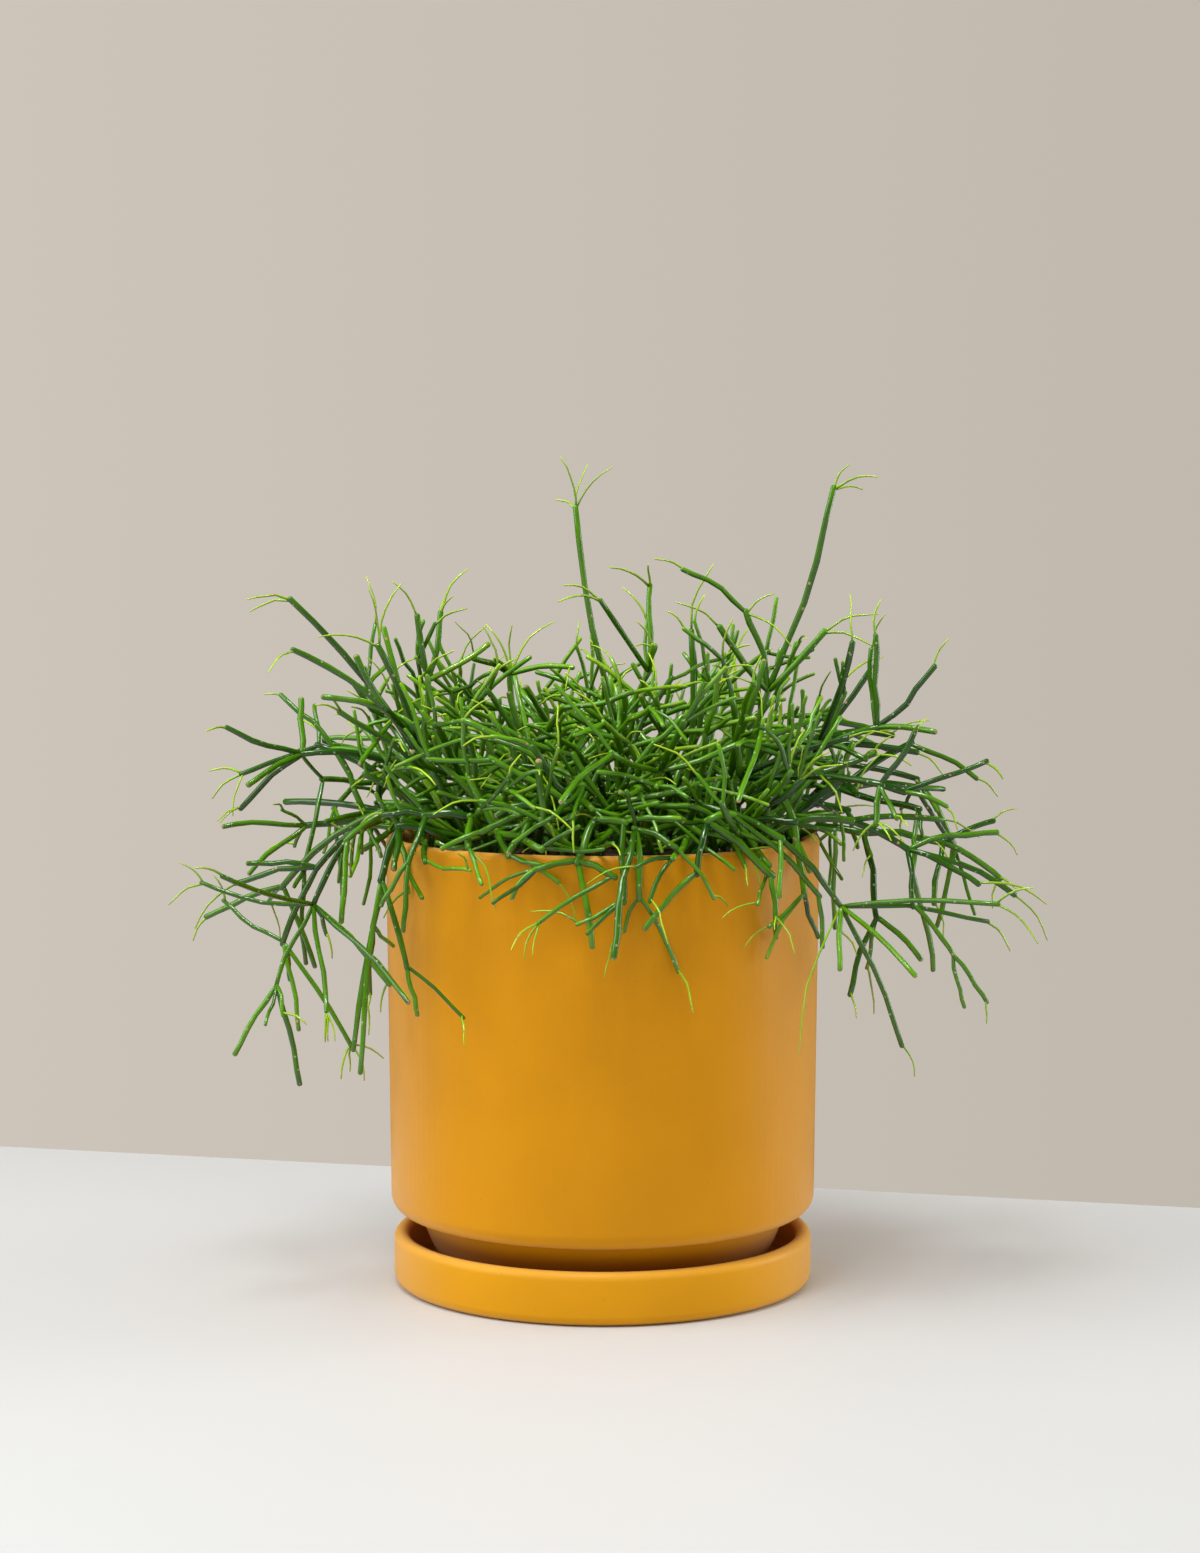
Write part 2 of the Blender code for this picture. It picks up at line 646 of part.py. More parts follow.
def hole_cutter(x, y, collection):
    top = soil_top(x, y)
    depth = ROOT_DEPTH + CLEARANCE
    cutter_mesh = bpy.data.meshes.new("root_hole")
    shape = bmesh.new()
    bmesh.ops.create_cone(
        shape, cap_ends=True, segments=ROOT_HOLE_SIDES,
        radius1=ROOT_HOLE_RADIUS, radius2=ROOT_HOLE_RADIUS, depth=2.0 * depth,
    )
    shape.to_mesh(cutter_mesh)
    shape.free()
    cutter = bpy.data.objects.new("root_hole", cutter_mesh)
    cutter.location = (x, y, top)
    cutter.hide_render = True
    cutter.display_type = "WIRE"
    collection.objects.link(cutter)
    return cutter


def main():
    for old in list(bpy.data.objects):
        bpy.data.objects.remove(old)
    part = bpy.data.collections.new("mistletoe_cactus")
    cutters = bpy.data.collections.new("cutters")
    bpy.context.scene.collection.children.link(part)
    bpy.context.scene.collection.children.link(cutters)
    glaze = material("ochre_glaze", (0.6, 0.27, 0.01), 0.35)
    mix = material("potting_mix", (0.03, 0.02, 0.013), 0.95)
    green = material("stem_green", (0.05, 0.15, 0.02), 0.5)
    saucer = turned("saucer", saucer_profile(), False, part)
    saucer.data.materials.append(glaze)
    pot = turned("pot", pot_profile(), True, part)
    pot.data.materials.append(glaze.copy())
    soil = turned("potting_mix", soil_profile(), False, part)
    soil.data.materials.append(mix)
    for name, (x, y, first) in plan_plant().items():
        build_spray(name, x, y, first, part, green.copy())
        hole_cutter(x, y, cutters)
    holes = soil.modifiers.new("Root holes", "BOOLEAN")
    holes.operation = "DIFFERENCE"
    holes.solver = "EXACT"
    holes.operand_type = "COLLECTION"
    holes.collection = cutters


main()
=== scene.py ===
"""Looks of the mistletoe cactus in its ochre pot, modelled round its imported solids.

Every rooted stem is grown again along the same arcs as its solid, with finer joints, and bears the twigs
and the thread-thin young shoots that the solids leave out. More rooted stems fill the heart of the plant.
The pot and the saucer are turned anew with more steps, and the potting mix gets its lumps and crumbs.
"""

import functools
import itertools
import math
import random

import bpy
import numpy as np
from bpy.props import FloatProperty, FloatVectorProperty, IntProperty, PointerProperty
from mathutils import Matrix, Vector
from mathutils.kdtree import KDTree


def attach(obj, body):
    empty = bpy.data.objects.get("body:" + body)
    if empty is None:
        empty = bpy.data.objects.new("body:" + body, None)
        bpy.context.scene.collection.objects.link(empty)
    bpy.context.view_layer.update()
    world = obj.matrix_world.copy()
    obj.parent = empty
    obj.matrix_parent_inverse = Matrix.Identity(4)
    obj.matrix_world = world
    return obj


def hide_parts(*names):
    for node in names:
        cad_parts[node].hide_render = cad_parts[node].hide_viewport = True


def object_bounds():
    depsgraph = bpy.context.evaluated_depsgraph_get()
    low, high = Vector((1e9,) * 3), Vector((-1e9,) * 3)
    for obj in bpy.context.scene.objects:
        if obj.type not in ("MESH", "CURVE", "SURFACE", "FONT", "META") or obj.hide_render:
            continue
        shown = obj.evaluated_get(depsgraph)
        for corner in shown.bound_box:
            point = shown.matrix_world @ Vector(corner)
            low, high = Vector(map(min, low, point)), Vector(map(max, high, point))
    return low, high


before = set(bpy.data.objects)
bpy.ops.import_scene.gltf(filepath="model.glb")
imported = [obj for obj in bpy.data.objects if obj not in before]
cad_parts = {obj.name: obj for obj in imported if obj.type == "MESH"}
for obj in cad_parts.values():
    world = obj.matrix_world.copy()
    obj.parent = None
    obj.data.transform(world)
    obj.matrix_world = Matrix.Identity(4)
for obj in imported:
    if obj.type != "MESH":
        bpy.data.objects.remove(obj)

bl_info = {
    "name": "Mistletoe cactus in a pot",
    "version": (1, 0, 0),
    "blender": (4, 5, 0),
    "location": "3D View > Sidebar > Cactus",
    "description": "Builds a mistletoe cactus with its pot, saucer and potting mix",
    "category": "Object",
}

MM = 0.001
CLEARANCE = 0.3 * MM
BODY = "root"
CAD_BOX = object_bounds()

# Saucer
SAUCER_RADIUS = 86.3 * MM
SAUCER_HEIGHT = 21.5 * MM
SAUCER_WALL = 6.4 * MM
SAUCER_FLOOR = 5.5 * MM
SAUCER_FOOT_ROUNDING = 4.5 * MM
SAUCER_INNER_ROUNDING = 4.0 * MM

# Pot
POT_TOP = 185.0 * MM
POT_RIM_RADIUS = 89.0 * MM
POT_BODY_BOTTOM = 30.0 * MM
POT_BOTTOM_RADIUS = 87.4 * MM
POT_WALL = 6.0 * MM
POT_CORNER_ROUNDING = 7.0 * MM
FOOT_TOP_RADIUS = 76.0 * MM
FOOT_BASE_RADIUS = 62.0 * MM
FOOT_BULGE = 0.6
FOOT_WALL = 7.0 * MM
POT_FLOOR = 6.2 * MM
DRAIN_RADIUS = 6.0 * MM
POT_BASE = SAUCER_FLOOR + CLEARANCE

# Potting mix
SOIL_MIDDLE = 181.0 * MM
SOIL_EDGE = 178.0 * MM
SOIL_RADIUS = POT_RIM_RADIUS - POT_WALL - CLEARANCE - 0.1 * MM
ROOT_DEPTH = 15.0 * MM

# Growth, as in the solids
JOINT_RADII = [1.5 * MM, 1.4 * MM, 1.2 * MM, 1.05 * MM]
SHOOT_RADIUS = 0.6 * MM
NEARLY_STRAIGHT = 1.1 * MM
STRONG_BOW = 2.8 * MM
SINK = 1.3 * MM
RISE = 4.0 * MM
JOINT_ZONE = 7.0 * MM
STEM_GAP = 0.5 * MM
SAMPLE_STEP = 1.0 * MM
DEPTH_SHIFTS = [shift * MM for shift in (0, 3, -3, 6, -6, 9, -9, 13, -13, 17, -17, 22, -22)]
BOW_CHANGES = [change * MM for change in (0, 2, -2)]
SEED = 7
RIM_RING = 68.0 * MM
FILL_RINGS = [
    ("back_rim", RIM_RING, 8, 4.0, 180.0),
    ("back", 46.0 * MM, 5, 12.0, 176.0),
    ("middle", 22.0 * MM, 4, 20.0, 290.0),
    ("front", 46.0 * MM, 4, 206.0, 334.0),
]
FILL_TRIES = 14
CROWN_HEIGHT = 268.0 * MM
CROWN_FALL = 0.35
PLANT_REACH = 158.0 * MM
LOWEST_TIP = 88.0 * MM

# A joint is shaped straight and one unit long and wide: height and width of each ring, past 1 in radii
GROWN_RINGS = [
    (0.0, 0.62), (0.06, 0.9), (0.25, 1.0), (0.45, 0.97), (0.65, 1.0), (0.85, 0.96), (1.0, 0.94), (1.45, 0.62),
    (1.62, 0.25),
]
YOUNG_RINGS = [(0.0, 1.0), (0.18, 0.95), (0.38, 0.88), (0.58, 0.8), (0.78, 0.7), (1.0, 0.5), (1.4, 0.12)]
GROWN_SIDES = 8
YOUNG_SIDES = 5
BLUNT_START = 1.3
FOOT_RADIUS = 1.65 * MM
WOBBLE_SHARE = 0.026
WOBBLE_MOST = 0.95 * MM

# Fine growth, beyond the solids
HEART_SPREAD = 78.0 * MM
HEART_REACH = 102.0 * MM
HEART_LOW = 166.0 * MM
HEART_TOP = 239.0 * MM
HEART_RISE = 22.0 * MM
# Along X: where the left lobe is full, where the dip starts and ends, and where the right lobe is full
HEART_DIP = (-66.0 * MM, -46.0 * MM, 0.0, 28.0 * MM)
HEART_ROOTS = 150
HEART_SEED = 23
TWIG_RADIUS = 0.85 * MM
THREAD_RADIUS = 0.42 * MM
FINE_GAP = 0.15 * MM
FINE_TRIES = 8
HAIR_ARCH = 0.1
CLUSTER_STEP = 9.0 * MM
# How many twigs a joint may bear: for joints in the heart or outside, with grown joints at their tip or not
TWIG_COUNTS = {
    (True, False): (0, 1, 2, 2, 3), (True, True): (0, 0, 1, 1),
    (False, False): (0,), (False, True): (0, 1, 1, 2),
}
THREAD_COUNTS = (1, 1, 2, 3)
TWIG_THREAD_CHANCE = 0.25
HEART_THREAD_CHANCE = 0.12
OUTER_THREAD_CHANCE = 0.4
# Ranges that are drawn from: lengths, bows and radii in mm, and a twig's angle to its parent in radians
HEART_LENGTHS = (18.0, 40.0)
HEART_BOWS = (-1.5, 2.5)
TWIG_LENGTHS = (14.0, 34.0)
TWIG_BOWS = (-1.0, 1.8)
TWIG_RADII = (0.72, 1.0)
TWIG_ANGLES = (0.35, 1.15)
THREAD_LENGTHS = (8.0, 21.0)
THREAD_RADII = (0.42, 0.6)

# Joints far outside are darker with age, joints deep in the heart are darker with age and with painted shade,
# and those near the potting mix are stouter
OUTER_START = 80.0 * MM
OUTER_DEPTH = 30.0 * MM
INNER_REACH = 72.0 * MM
INNER_TOP = 238.0 * MM
INNER_DEPTH = 40.0 * MM
STUBBY_TOP = 204.0 * MM
STUBBY_SWELL = (0.95, 1.16)
GROWN_SWELL = (0.86, 1.06)
# Youth goes from 0 for the oldest joint to 1 for a new shoot, and is lowered deep in the heart to paint shade
# there
GROWN_YOUTH = (0.05, 0.42)
TWIG_YOUTH = (0.25, 0.7)
SHOOT_YOUTH = (0.6, 0.8)
YOUTH_PER_JOINT = 0.06
END_YOUTH = 0.08
# How much older, and so darker, joints deep in the heart are made: partly age, partly painted shade.
INNER_AGE_AND_SHADE = 0.35
OUTER_AGE = 0.24
TWIG_OUTER_AGE = 0.2
TIP_TAN = (0.2, 0.9)

# Lumps and crumbs of the potting mix
SOIL_SIDES = 120
SOIL_RINGS = 22
LUMP_SIZE = 5.0 * MM
LUMP_DEPTH = 3
LUMP_LEVEL = 0.45
LUMP_REACH = 0.97 * SOIL_RADIUS
MIX_GRAIN = 520.0
MIX_RELIEF = 0.9 * MM
BARK_GRAIN = 900.0
BARK_RELIEF = 0.3 * MM
CRUMB_SIZES = (0.7, 2.4)
CRUMB_MARGIN = 3.5 * MM
CRUMB_GAP = 2.2 * MM
CRUMB_SINK = 0.35
CRUMB_TILT = 0.6
CRUMB_SEED = 31
# Where a crumb is cut flat, and which way the cut faces
CRUMB_CUTS = [((0.0, 0.0, 0.42), (0.1, 0.2, 1.0)), ((0.0, 0.0, -0.4), (-0.2, 0.1, -1.0))]

# Glaze, skin and table finishes, and the highlight, sheen and shade painted on the glaze
SAUCER_THIN_AND_HIGHLIGHT_WIDTH = 3.5 * MM
POT_THIN_AND_HIGHLIGHT_WIDTH = 1.4 * MM
SHADE_MARGIN = 0.5 * MM
FOOT_SHADE_FADE = 11.0 * MM
INSIDE_SHADE_FADE = 2.0 * MM
GLAZE_RELIEF = 0.12 * MM
SKIN_RELIEF = 0.06 * MM
TABLE_RELIEF = 0.05 * MM
PIN_COLOUR = (0.2, 0.08, 0.01, 1.0)
AREOLE_COLOUR = (0.5, 0.6, 0.34, 1.0)

# Stage, in metres: each light has its place, the point that it is turned to, and its width and height
TABLE_SIZE = 4.0
TABLE_BACK = 0.205
TABLE_SLANT = 0.253
TABLE_THICKNESS = 30.0 * MM
TABLE_ROUNDING = 1.5 * MM
LIGHT_COLOUR = (0.96, 0.985, 1.0)
LIGHTS = {
    "key": ((-1.25, -0.35, 0.95), (0.0, 0.0, 0.16), (1.0, 1.2)),
    "side": ((1.0, 0.15, 0.25), (0.0, 0.0, 0.14), (0.5, 0.44)),
    "top": ((-0.12, -0.42, 1.2), (0.0, 0.0, 0.2), (0.22, 0.28)),
    "front": ((0.25, -1.6, 0.6), (0.0, 0.0, 0.12), (0.9, 0.9)),
}
CAMERA_PLACE = (-1.1 * MM, -1348.0 * MM, 319.5 * MM)
CAMERA_TILT = 4.7
CAMERA_LENS = 76.36


class Branch:
    """One joint of the cactus. It runs from its parent's tip to its own, and bow lifts its middle."""

    def __init__(self, tip, bow, branches, young=False):
        self.tip = tip
        self.bow = bow
        self.branches = branches
        self.young = young
        self.radius = SHOOT_RADIUS if young else JOINT_RADII[0]
        self.start = None
        self.middle = None

    def thin(self, level):
        """Take the thickness of a joint that stands on as many others as level says."""
        if not self.young:
            self.radius = JOINT_RADII[min(level, len(JOINT_RADII) - 1)]

    def point(self, part):
        """The point at part, 0 to 1, of the way along the arc."""
        rest = 1.0 - part
        return rest * rest * self.start + 2.0 * rest * part * self.middle + part * part * self.tip

    def aim(self, start, tip):
        """Draw the arc anew between two points, with its middle off the chord on its upper side."""
        chord = tip - start
        across = chord.cross(Vector((0.0, 0.0, 1.0)))
        if across.length < 0.05 * chord.length:
            across = chord.cross(Vector((start.x, start.y, 0.0)))
        lift = across.cross(chord).normalized()
        self.start = start
        self.tip = tip
        self.middle = (start + tip) / 2.0 + 2.0 * self.bow * lift

    def route(self):
        """The few points that the solid's tube follows: more of them where it bows more."""
        if self.young or abs(self.bow) < NEARLY_STRAIGHT:
            return [self.start, self.tip]
        parts = (0.0, 0.33, 0.68, 1.0) if abs(self.bow) > STRONG_BOW else (0.0, 0.5, 1.0)
        return [self.point(part) for part in parts]

    def direction(self):
        return (self.tip - self.middle).normalized()


def stem(x, y, z, bow, *branches):
    """A grown joint with its tip at x, y, z, in mm, and what grows from that tip."""
    return Branch(Vector((x, y, z)) * MM, bow * MM, list(branches))


def shoot(x, y, z):
    """A young, thread-thin joint with its tip at x, y, z, in mm."""
    return Branch(Vector((x, y, z)) * MM, 0.0, [], young=True)


def drawn_sprays():
    """The drawn stems: for each the root's x and y on the soil, in mm, and the joints that grow from it."""
    return {
        "left_arch": (-60, -22, stem(
            -72, -22, 215, 0,
            stem(-123, -52, 283, 3.5, shoot(-139, -60, 283), shoot(-139, -50, 278)),
            stem(
                -70, -30, 251, 0.5,
                stem(-74, -34, 276, -0.5), stem(-65, -26, 277, -1), stem(-46, -22, 264, -1)),
            stem(-105, -40, 238, 2.5))),
        "left_fork": (-52, -40, stem(
            -73, -42, 225, 0,
            stem(-88, -60, 265, 1.5, shoot(-91, -66, 287), shoot(-79, -58, 289), shoot(-110, -74, 269)),
            stem(-87, -48, 271, -1), stem(-96, -66, 261, -1),
            stem(
                -84, -68, 241, 1,
                stem(-108, -80, 246, 1), stem(-118, -96, 265, 2, shoot(-126, -108, 257))))),
        "left_shelf": (-66, 0, stem(
            -79, -2, 214, 0,
            stem(
                -123, -16, 219, 2.5,
                stem(-151, -30, 231, -1), stem(-142, -34, 208, 1), stem(-148, -8, 196, 1.5),
                stem(-123, -6, 241, -1)),
            stem(-112, 12, 219, 2, stem(-134, 22, 241, 1, shoot(-141, 24, 241)), stem(-99, 10, 194, 0.5)))),
        "left_core": (-44, -8, stem(
            -61, -10, 218, 0,
            stem(-61, -14, 245, 1, stem(-75, -26, 259, -1), shoot(-87, -34, 232)),
            stem(-54, -20, 238, 1, shoot(-61, -36, 231), stem(-43, -24, 253, -1)),
            stem(-85, -30, 235, 1.5, stem(-99, -40, 249, -1)))),
        "left_whorl": (-34, 4, stem(
            -37, 2, 224, 0,
            stem(
                -38, 0, 252, 0,
                shoot(-48, 4, 271), shoot(-37, -4, 271), shoot(-20, 8, 272),
                stem(-12, -12, 254, 1.5, shoot(-15, -20, 245)),
                stem(-52, -20, 258, 1, shoot(-59, -28, 273))))),
        "left_low_whorl": (-26, -20, stem(
            -32, -24, 222, 0,
            stem(-46, -34, 246, 1, shoot(-50, -38, 250)), stem(-15, -34, 229, 1.5, stem(10, -44, 226, 1.5)),
            shoot(-17, -76, 194), shoot(-48, -58, 209))),
        "middle_tall": (6, 0, stem(
            6, -2, 232, 0,
            stem(
                -11, -14, 319, -3,
                shoot(-17, -18, 339), shoot(-6, -8, 336), shoot(4, -16, 335), shoot(-19, -6, 322)),
            stem(3, 6, 249, -0.5))),
        "middle_crown": (14, -18, stem(
            9, -22, 222, 0,
            stem(-7, -30, 239, 1, shoot(-15, -34, 253)),
            stem(
                19, -30, 254, 1.5,
                stem(21, -34, 264, 0.5, shoot(13, -40, 264)),
                stem(-1, -70, 283, 2, shoot(-15, -80, 289), shoot(-17, -88, 283)),
                stem(19, -24, 288, 1, shoot(3, -36, 295), shoot(18, -34, 296))))),
        "middle_right": (30, -8, stem(
            36, -10, 220, 0,
            stem(36, -8, 269, 1, shoot(45, -10, 296)), stem(42, -20, 260, -0.5), stem(16, -24, 242, -1),
            stem(24, -34, 229, 1, stem(45, -44, 247, -1), stem(21, -46, 244, -0.5), stem(60, -50, 236, -1)))),
        "right_crown": (52, 2, stem(
            68, -4, 245, 1,
            stem(93, -18, 327, -2, shoot(99, -20, 336), shoot(110, -26, 331), shoot(105, -12, 326)),
            stem(90, -14, 269, 1.5, shoot(111, -18, 276), shoot(109, -22, 263)),
            stem(
                58, -8, 277, 1.5,
                stem(32, -14, 294, 2, shoot(21, -16, 298)), shoot(70, -8, 284), shoot(76, -18, 263)),
            stem(47, -20, 271, -1))),
        "right_fan": (60, -18, stem(
            86, -22, 221, 1,
            stem(
                111, -30, 231, 1.5,
                stem(109, -32, 268, 1, shoot(111, -32, 282)), stem(108, -24, 262, -1),
                stem(132, -40, 256, -1.5, shoot(137, -44, 267)), stem(132, -44, 230, 1)),
            stem(97, -30, 245, -1), stem(98, -50, 266, -1))),
        "right_back_fan": (66, 14, stem(
            87, 14, 222, 1,
            stem(112, 18, 253, -1), stem(130, 8, 218, 1.5, shoot(141, 6, 208)), stem(101, 24, 248, -1),
            stem(121, 22, 224, 1, shoot(137, 26, 230)))),
        "right_step": (44, -30, stem(
            55, -34, 212, 1,
            stem(97, -48, 228, 1.5, shoot(115, -54, 229)), stem(109, -36, 221, -1.5),
            stem(109, -70, 211, 2, stem(121, -76, 233, -1), stem(106, -76, 196, 0)),
            stem(65, -54, 226, -0.5), stem(51, -46, 243, 1, stem(47, -50, 260, 0.5, shoot(51, -54, 275))))),
        "right_shelf": (70, -30, stem(
            96, -40, 212, 2,
            stem(
                120, -46, 206, 1,
                stem(136, -52, 201, 1, shoot(140, -54, 192)), stem(152, -50, 219, -0.5, shoot(158, -52, 212)),
                stem(137, -30, 206, 1)),
            stem(100, -60, 206, 0.5, shoot(109, -62, 223)))),
        "right_arm": (30, -52, stem(
            38, -66, 204, 2,
            stem(
                70, -74, 190, 1.5,
                stem(
                    94, -66, 162, 1.5,
                    stem(151, -100, 168, 1.5, shoot(165, -108, 154), shoot(163, -106, 175)),
                    stem(153, -50, 155, 2, shoot(162, -48, 143)), stem(119, -104, 141, 1.5),
                    stem(118, -62, 107, 1.5, shoot(123, -62, 95)), stem(92, -80, 140, 0),
                    shoot(76, -86, 108)),
                stem(68, -86, 169, 1)))),
        "right_back_arm": (60, -42, stem(
            99, -50, 195, 6,
            stem(
                122, -48, 183, 1,
                stem(164, -46, 165, 2.5, shoot(177, -46, 147)),
                stem(148, -60, 171, 1.5, shoot(175, -58, 163)), stem(157, -44, 190, 2, shoot(165, -44, 181)),
                stem(122, -62, 162, 1, stem(138, -66, 143, 1, stem(151, -66, 125, 0.5)))),
            stem(136, -34, 194, 1.5, shoot(151, -34, 187)))),
        "right_drop": (74, -8, stem(
            107, -20, 187, 4,
            stem(
                139, -20, 183, 1.5,
                stem(159, -16, 192, 1, shoot(168, -16, 197)), stem(161, -24, 169, 1.5),
                stem(133, -34, 160, 1)),
            stem(110, -36, 154, 1, stem(99, -40, 124, 1), stem(127, -44, 139, 1)))),
        "front_right": (20, -64, stem(
            12, -88, 196, 2,
            stem(14, -93, 169, 0.5), stem(28, -94, 189, 1), stem(4, -103, 150, 1))),
        "front_right_low": (44, -58, stem(
            40, -80, 198, 3,
            stem(36, -90, 178, 1, stem(16, -96, 158, 1)), stem(66, -80, 176, 1, stem(67, -82, 160, 0.5)),
            stem(51, -62, 200, 1, stem(85, -68, 167, 1.5, stem(86, -68, 147, 0.5))))),
        "front_middle": (-6, -62, stem(
            -3, -84, 199, 3,
            stem(
                -10, -94, 183, 0.5,
                stem(-26, -98, 181, 0.5), stem(5, -98, 178, 0.5, stem(-25, -104, 161, 0.5)),
                stem(-4, -97, 151, 0.5)),
            stem(9, -88, 198, 0.5, stem(8, -97, 168, 0.5)))),
        "front_left": (-26, -60, stem(
            -23, -78, 203, 2,
            stem(-47, -84, 194, 1, stem(-62, -88, 188, 0.5)), stem(-36, -92, 187, 1),
            stem(-41, -80, 200, 0.5))),
        "front_left_low": (-44, -52, stem(
            -52, -70, 199, 2,
            stem(
                -70, -70, 199, 1,
                stem(-75, -84, 182, 0.5, stem(-77, -88, 156, 0.5), stem(-86, -80, 165, 0.5)),
                stem(-86, -64, 199, 1)),
            stem(-52, -86, 188, 0.5, shoot(-41, -96, 166), stem(-64, -88, 190, 0.5)))),
        "left_arm": (-62, -36, stem(
            -81, -42, 201, 3,
            stem(
                -102, -50, 187, 1.5,
                stem(
                    -115, -52, 161, 1,
                    stem(-145, -102, 179, -1.5, shoot(-154, -110, 183)),
                    stem(-160, -44, 170, -3, shoot(-173, -44, 161), shoot(-168, -46, 178)),
                    stem(-129, -60, 130, 1, stem(-145, -64, 104, 0.5), stem(-120, -58, 91, 0.5)),
                    stem(-106, -96, 126, 0.5), stem(-74, -106, 131, 1.5), stem(-84, -60, 131, 1.5)),
                stem(-103, -66, 156, 1.5)))),
        "left_back_arm": (-74, -16, stem(
            -87, -20, 198, 3,
            stem(
                -116, -24, 173, 1.5,
                stem(-150, -14, 166, 1.5, shoot(-166, -16, 148)), stem(-143, -30, 176, 1),
                stem(
                    -130, -22, 142, 1,
                    stem(-123, -28, 108, 1), stem(-101, -34, 102, 1), stem(-155, -12, 159, -1))),
            stem(-132, -4, 163, 2, stem(-164, 4, 150, 1), stem(-118, -8, 131, 0.5)))),
        "left_eaves": (-70, 14, stem(
            -92, 12, 193, 4,
            stem(-124, 8, 187, 1.5, stem(-156, 0, 188, 1), stem(-146, 4, 168, 1)), stem(-134, 36, 195, 1.5),
            stem(-113, -10, 191, 0.5, shoot(-102, -14, 179)))),
        "left_fringe": (-56, -50, stem(
            -81, -60, 194, 3,
            stem(-87, -68, 173, 0.5, stem(-76, -78, 140, 1, stem(-72, -80, 122, 0)), stem(-95, -72, 98, 1)),
            stem(-91, -58, 153, 1, stem(-99, -54, 104, 0.5)), stem(-81, -78, 179, 0.5))),
    }


def wall_distance(point):
    """How far a point is from the pot's upright wall and rounded rim."""
    out = math.hypot(point.x, point.y)
    half = POT_WALL / 2.0
    top = Vector((POT_RIM_RADIUS - half, POT_TOP - half))
    foot = Vector((POT_BOTTOM_RADIUS - half, POT_BODY_BOTTOM))
    along = top - foot
    here = Vector((out, point.z)) - foot
    part = min(max(here.dot(along) / along.length_squared, 0.0), 1.0)
    return (here - part * along).length - half


def soil_top(x, y):
    """Height of the potting mix at x, y."""
    return SOIL_MIDDLE + (SOIL_EDGE - SOIL_MIDDLE) * math.hypot(x, y) / SOIL_RADIUS


class Space:
    """The room that the stems have: clear of the pot, the soil and every stem of another root."""

    def __init__(self):
        self.taken = []
        self.tree = None
        self.own = []

    def samples(self, points):
        """Points no more than SAMPLE_STEP apart along a route."""
        found = []
        for start, end in zip(points, points[1:]):
            count = max(1, math.ceil((end - start).length / SAMPLE_STEP))
            found.extend(start.lerp(end, step / count) for step in range(count))
        found.append(points[-1])
        return found

    def free(self, points, radius, joint):
        """Whether a tube along the points is clear. Near the joint it may meet its own root's stems."""
        margin = radius + STEM_GAP
        for point in self.samples(points):
            if wall_distance(point) < margin:
                return False
            inside = math.hypot(point.x, point.y) < POT_RIM_RADIUS
            if inside and point.z < soil_top(point.x, point.y) + margin:
                return False
            for _, index, distance in self.tree.find_range(point, margin + JOINT_RADII[0]):
                if distance < margin + self.taken[index][1]:
                    return False
            if (point - joint).length < JOINT_ZONE:
                continue
            for place, thick in self.own:
                if (point - place).length_squared < (margin + thick) ** 2:
                    return False
        return True

    def hold(self, points, radius):
        """Take the room of a tube for the root that is growing now."""
        self.own.extend((point, radius) for point in self.samples(points))

    def close(self):
        """End the root that is growing now, so that the next ones keep clear of it."""
        self.taken.extend(self.own)
        self.own = []
        self.tree = KDTree(max(1, len(self.taken)))
        for index, (point, _) in enumerate(self.taken):
            self.tree.insert(point, index)
        self.tree.balance()


def grow(branch, start, heading, level, space):
    """Place a drawn joint and what it bears. It leans or bows more or less, to stay clear."""
    branch.thin(level)
    wanted = branch.tip
    bow = branch.bow
    root = start - SINK * heading
    for shift, change in itertools.product(DEPTH_SHIFTS, BOW_CHANGES):
        branch.bow = bow + change
        branch.aim(root, wanted + Vector((0.0, shift, 0.0)))
        if space.free(branch.route(), branch.radius, start):
            break
    else:
        return False
    space.hold(branch.route(), branch.radius)
    branch.branches = [
        child for child in branch.branches
        if grow(child, branch.tip, branch.direction(), level + 1, space)
    ]
    return True


def root_route(x, y):
    """The upright end of a stem that stands in the potting mix."""
    top = soil_top(x, y)
    return [Vector((x, y, top - ROOT_DEPTH)), Vector((x, y, top + RISE))]


def grow_rooted(x, y, first, space):
    """Grow a whole rooted stem from its place on the soil. It says whether there was room."""
    foot = root_route(x, y)[1]
    first.aim(foot, first.tip)
    route = [foot + Vector((0.0, 0.0, first.radius)), *first.route()[1:]]
    if not space.free(route, first.radius, foot):
        return False
    space.hold([foot, *first.route()[1:]], first.radius)
    first.branches = [
        child for child in first.branches if grow(child, first.tip, first.direction(), 1, space)
    ]
    space.close()
    return True


def turned_direction(azimuth, elevation):
    level = math.cos(elevation)
    return Vector((level * math.cos(azimuth), level * math.sin(azimuth), math.sin(elevation)))


def in_crown(tip):
    """Whether a seeded tip keeps inside the plant's own outline."""
    out = math.hypot(tip.x, tip.y)
    return out < PLANT_REACH and LOWEST_TIP < tip.z < CROWN_HEIGHT - CROWN_FALL * out


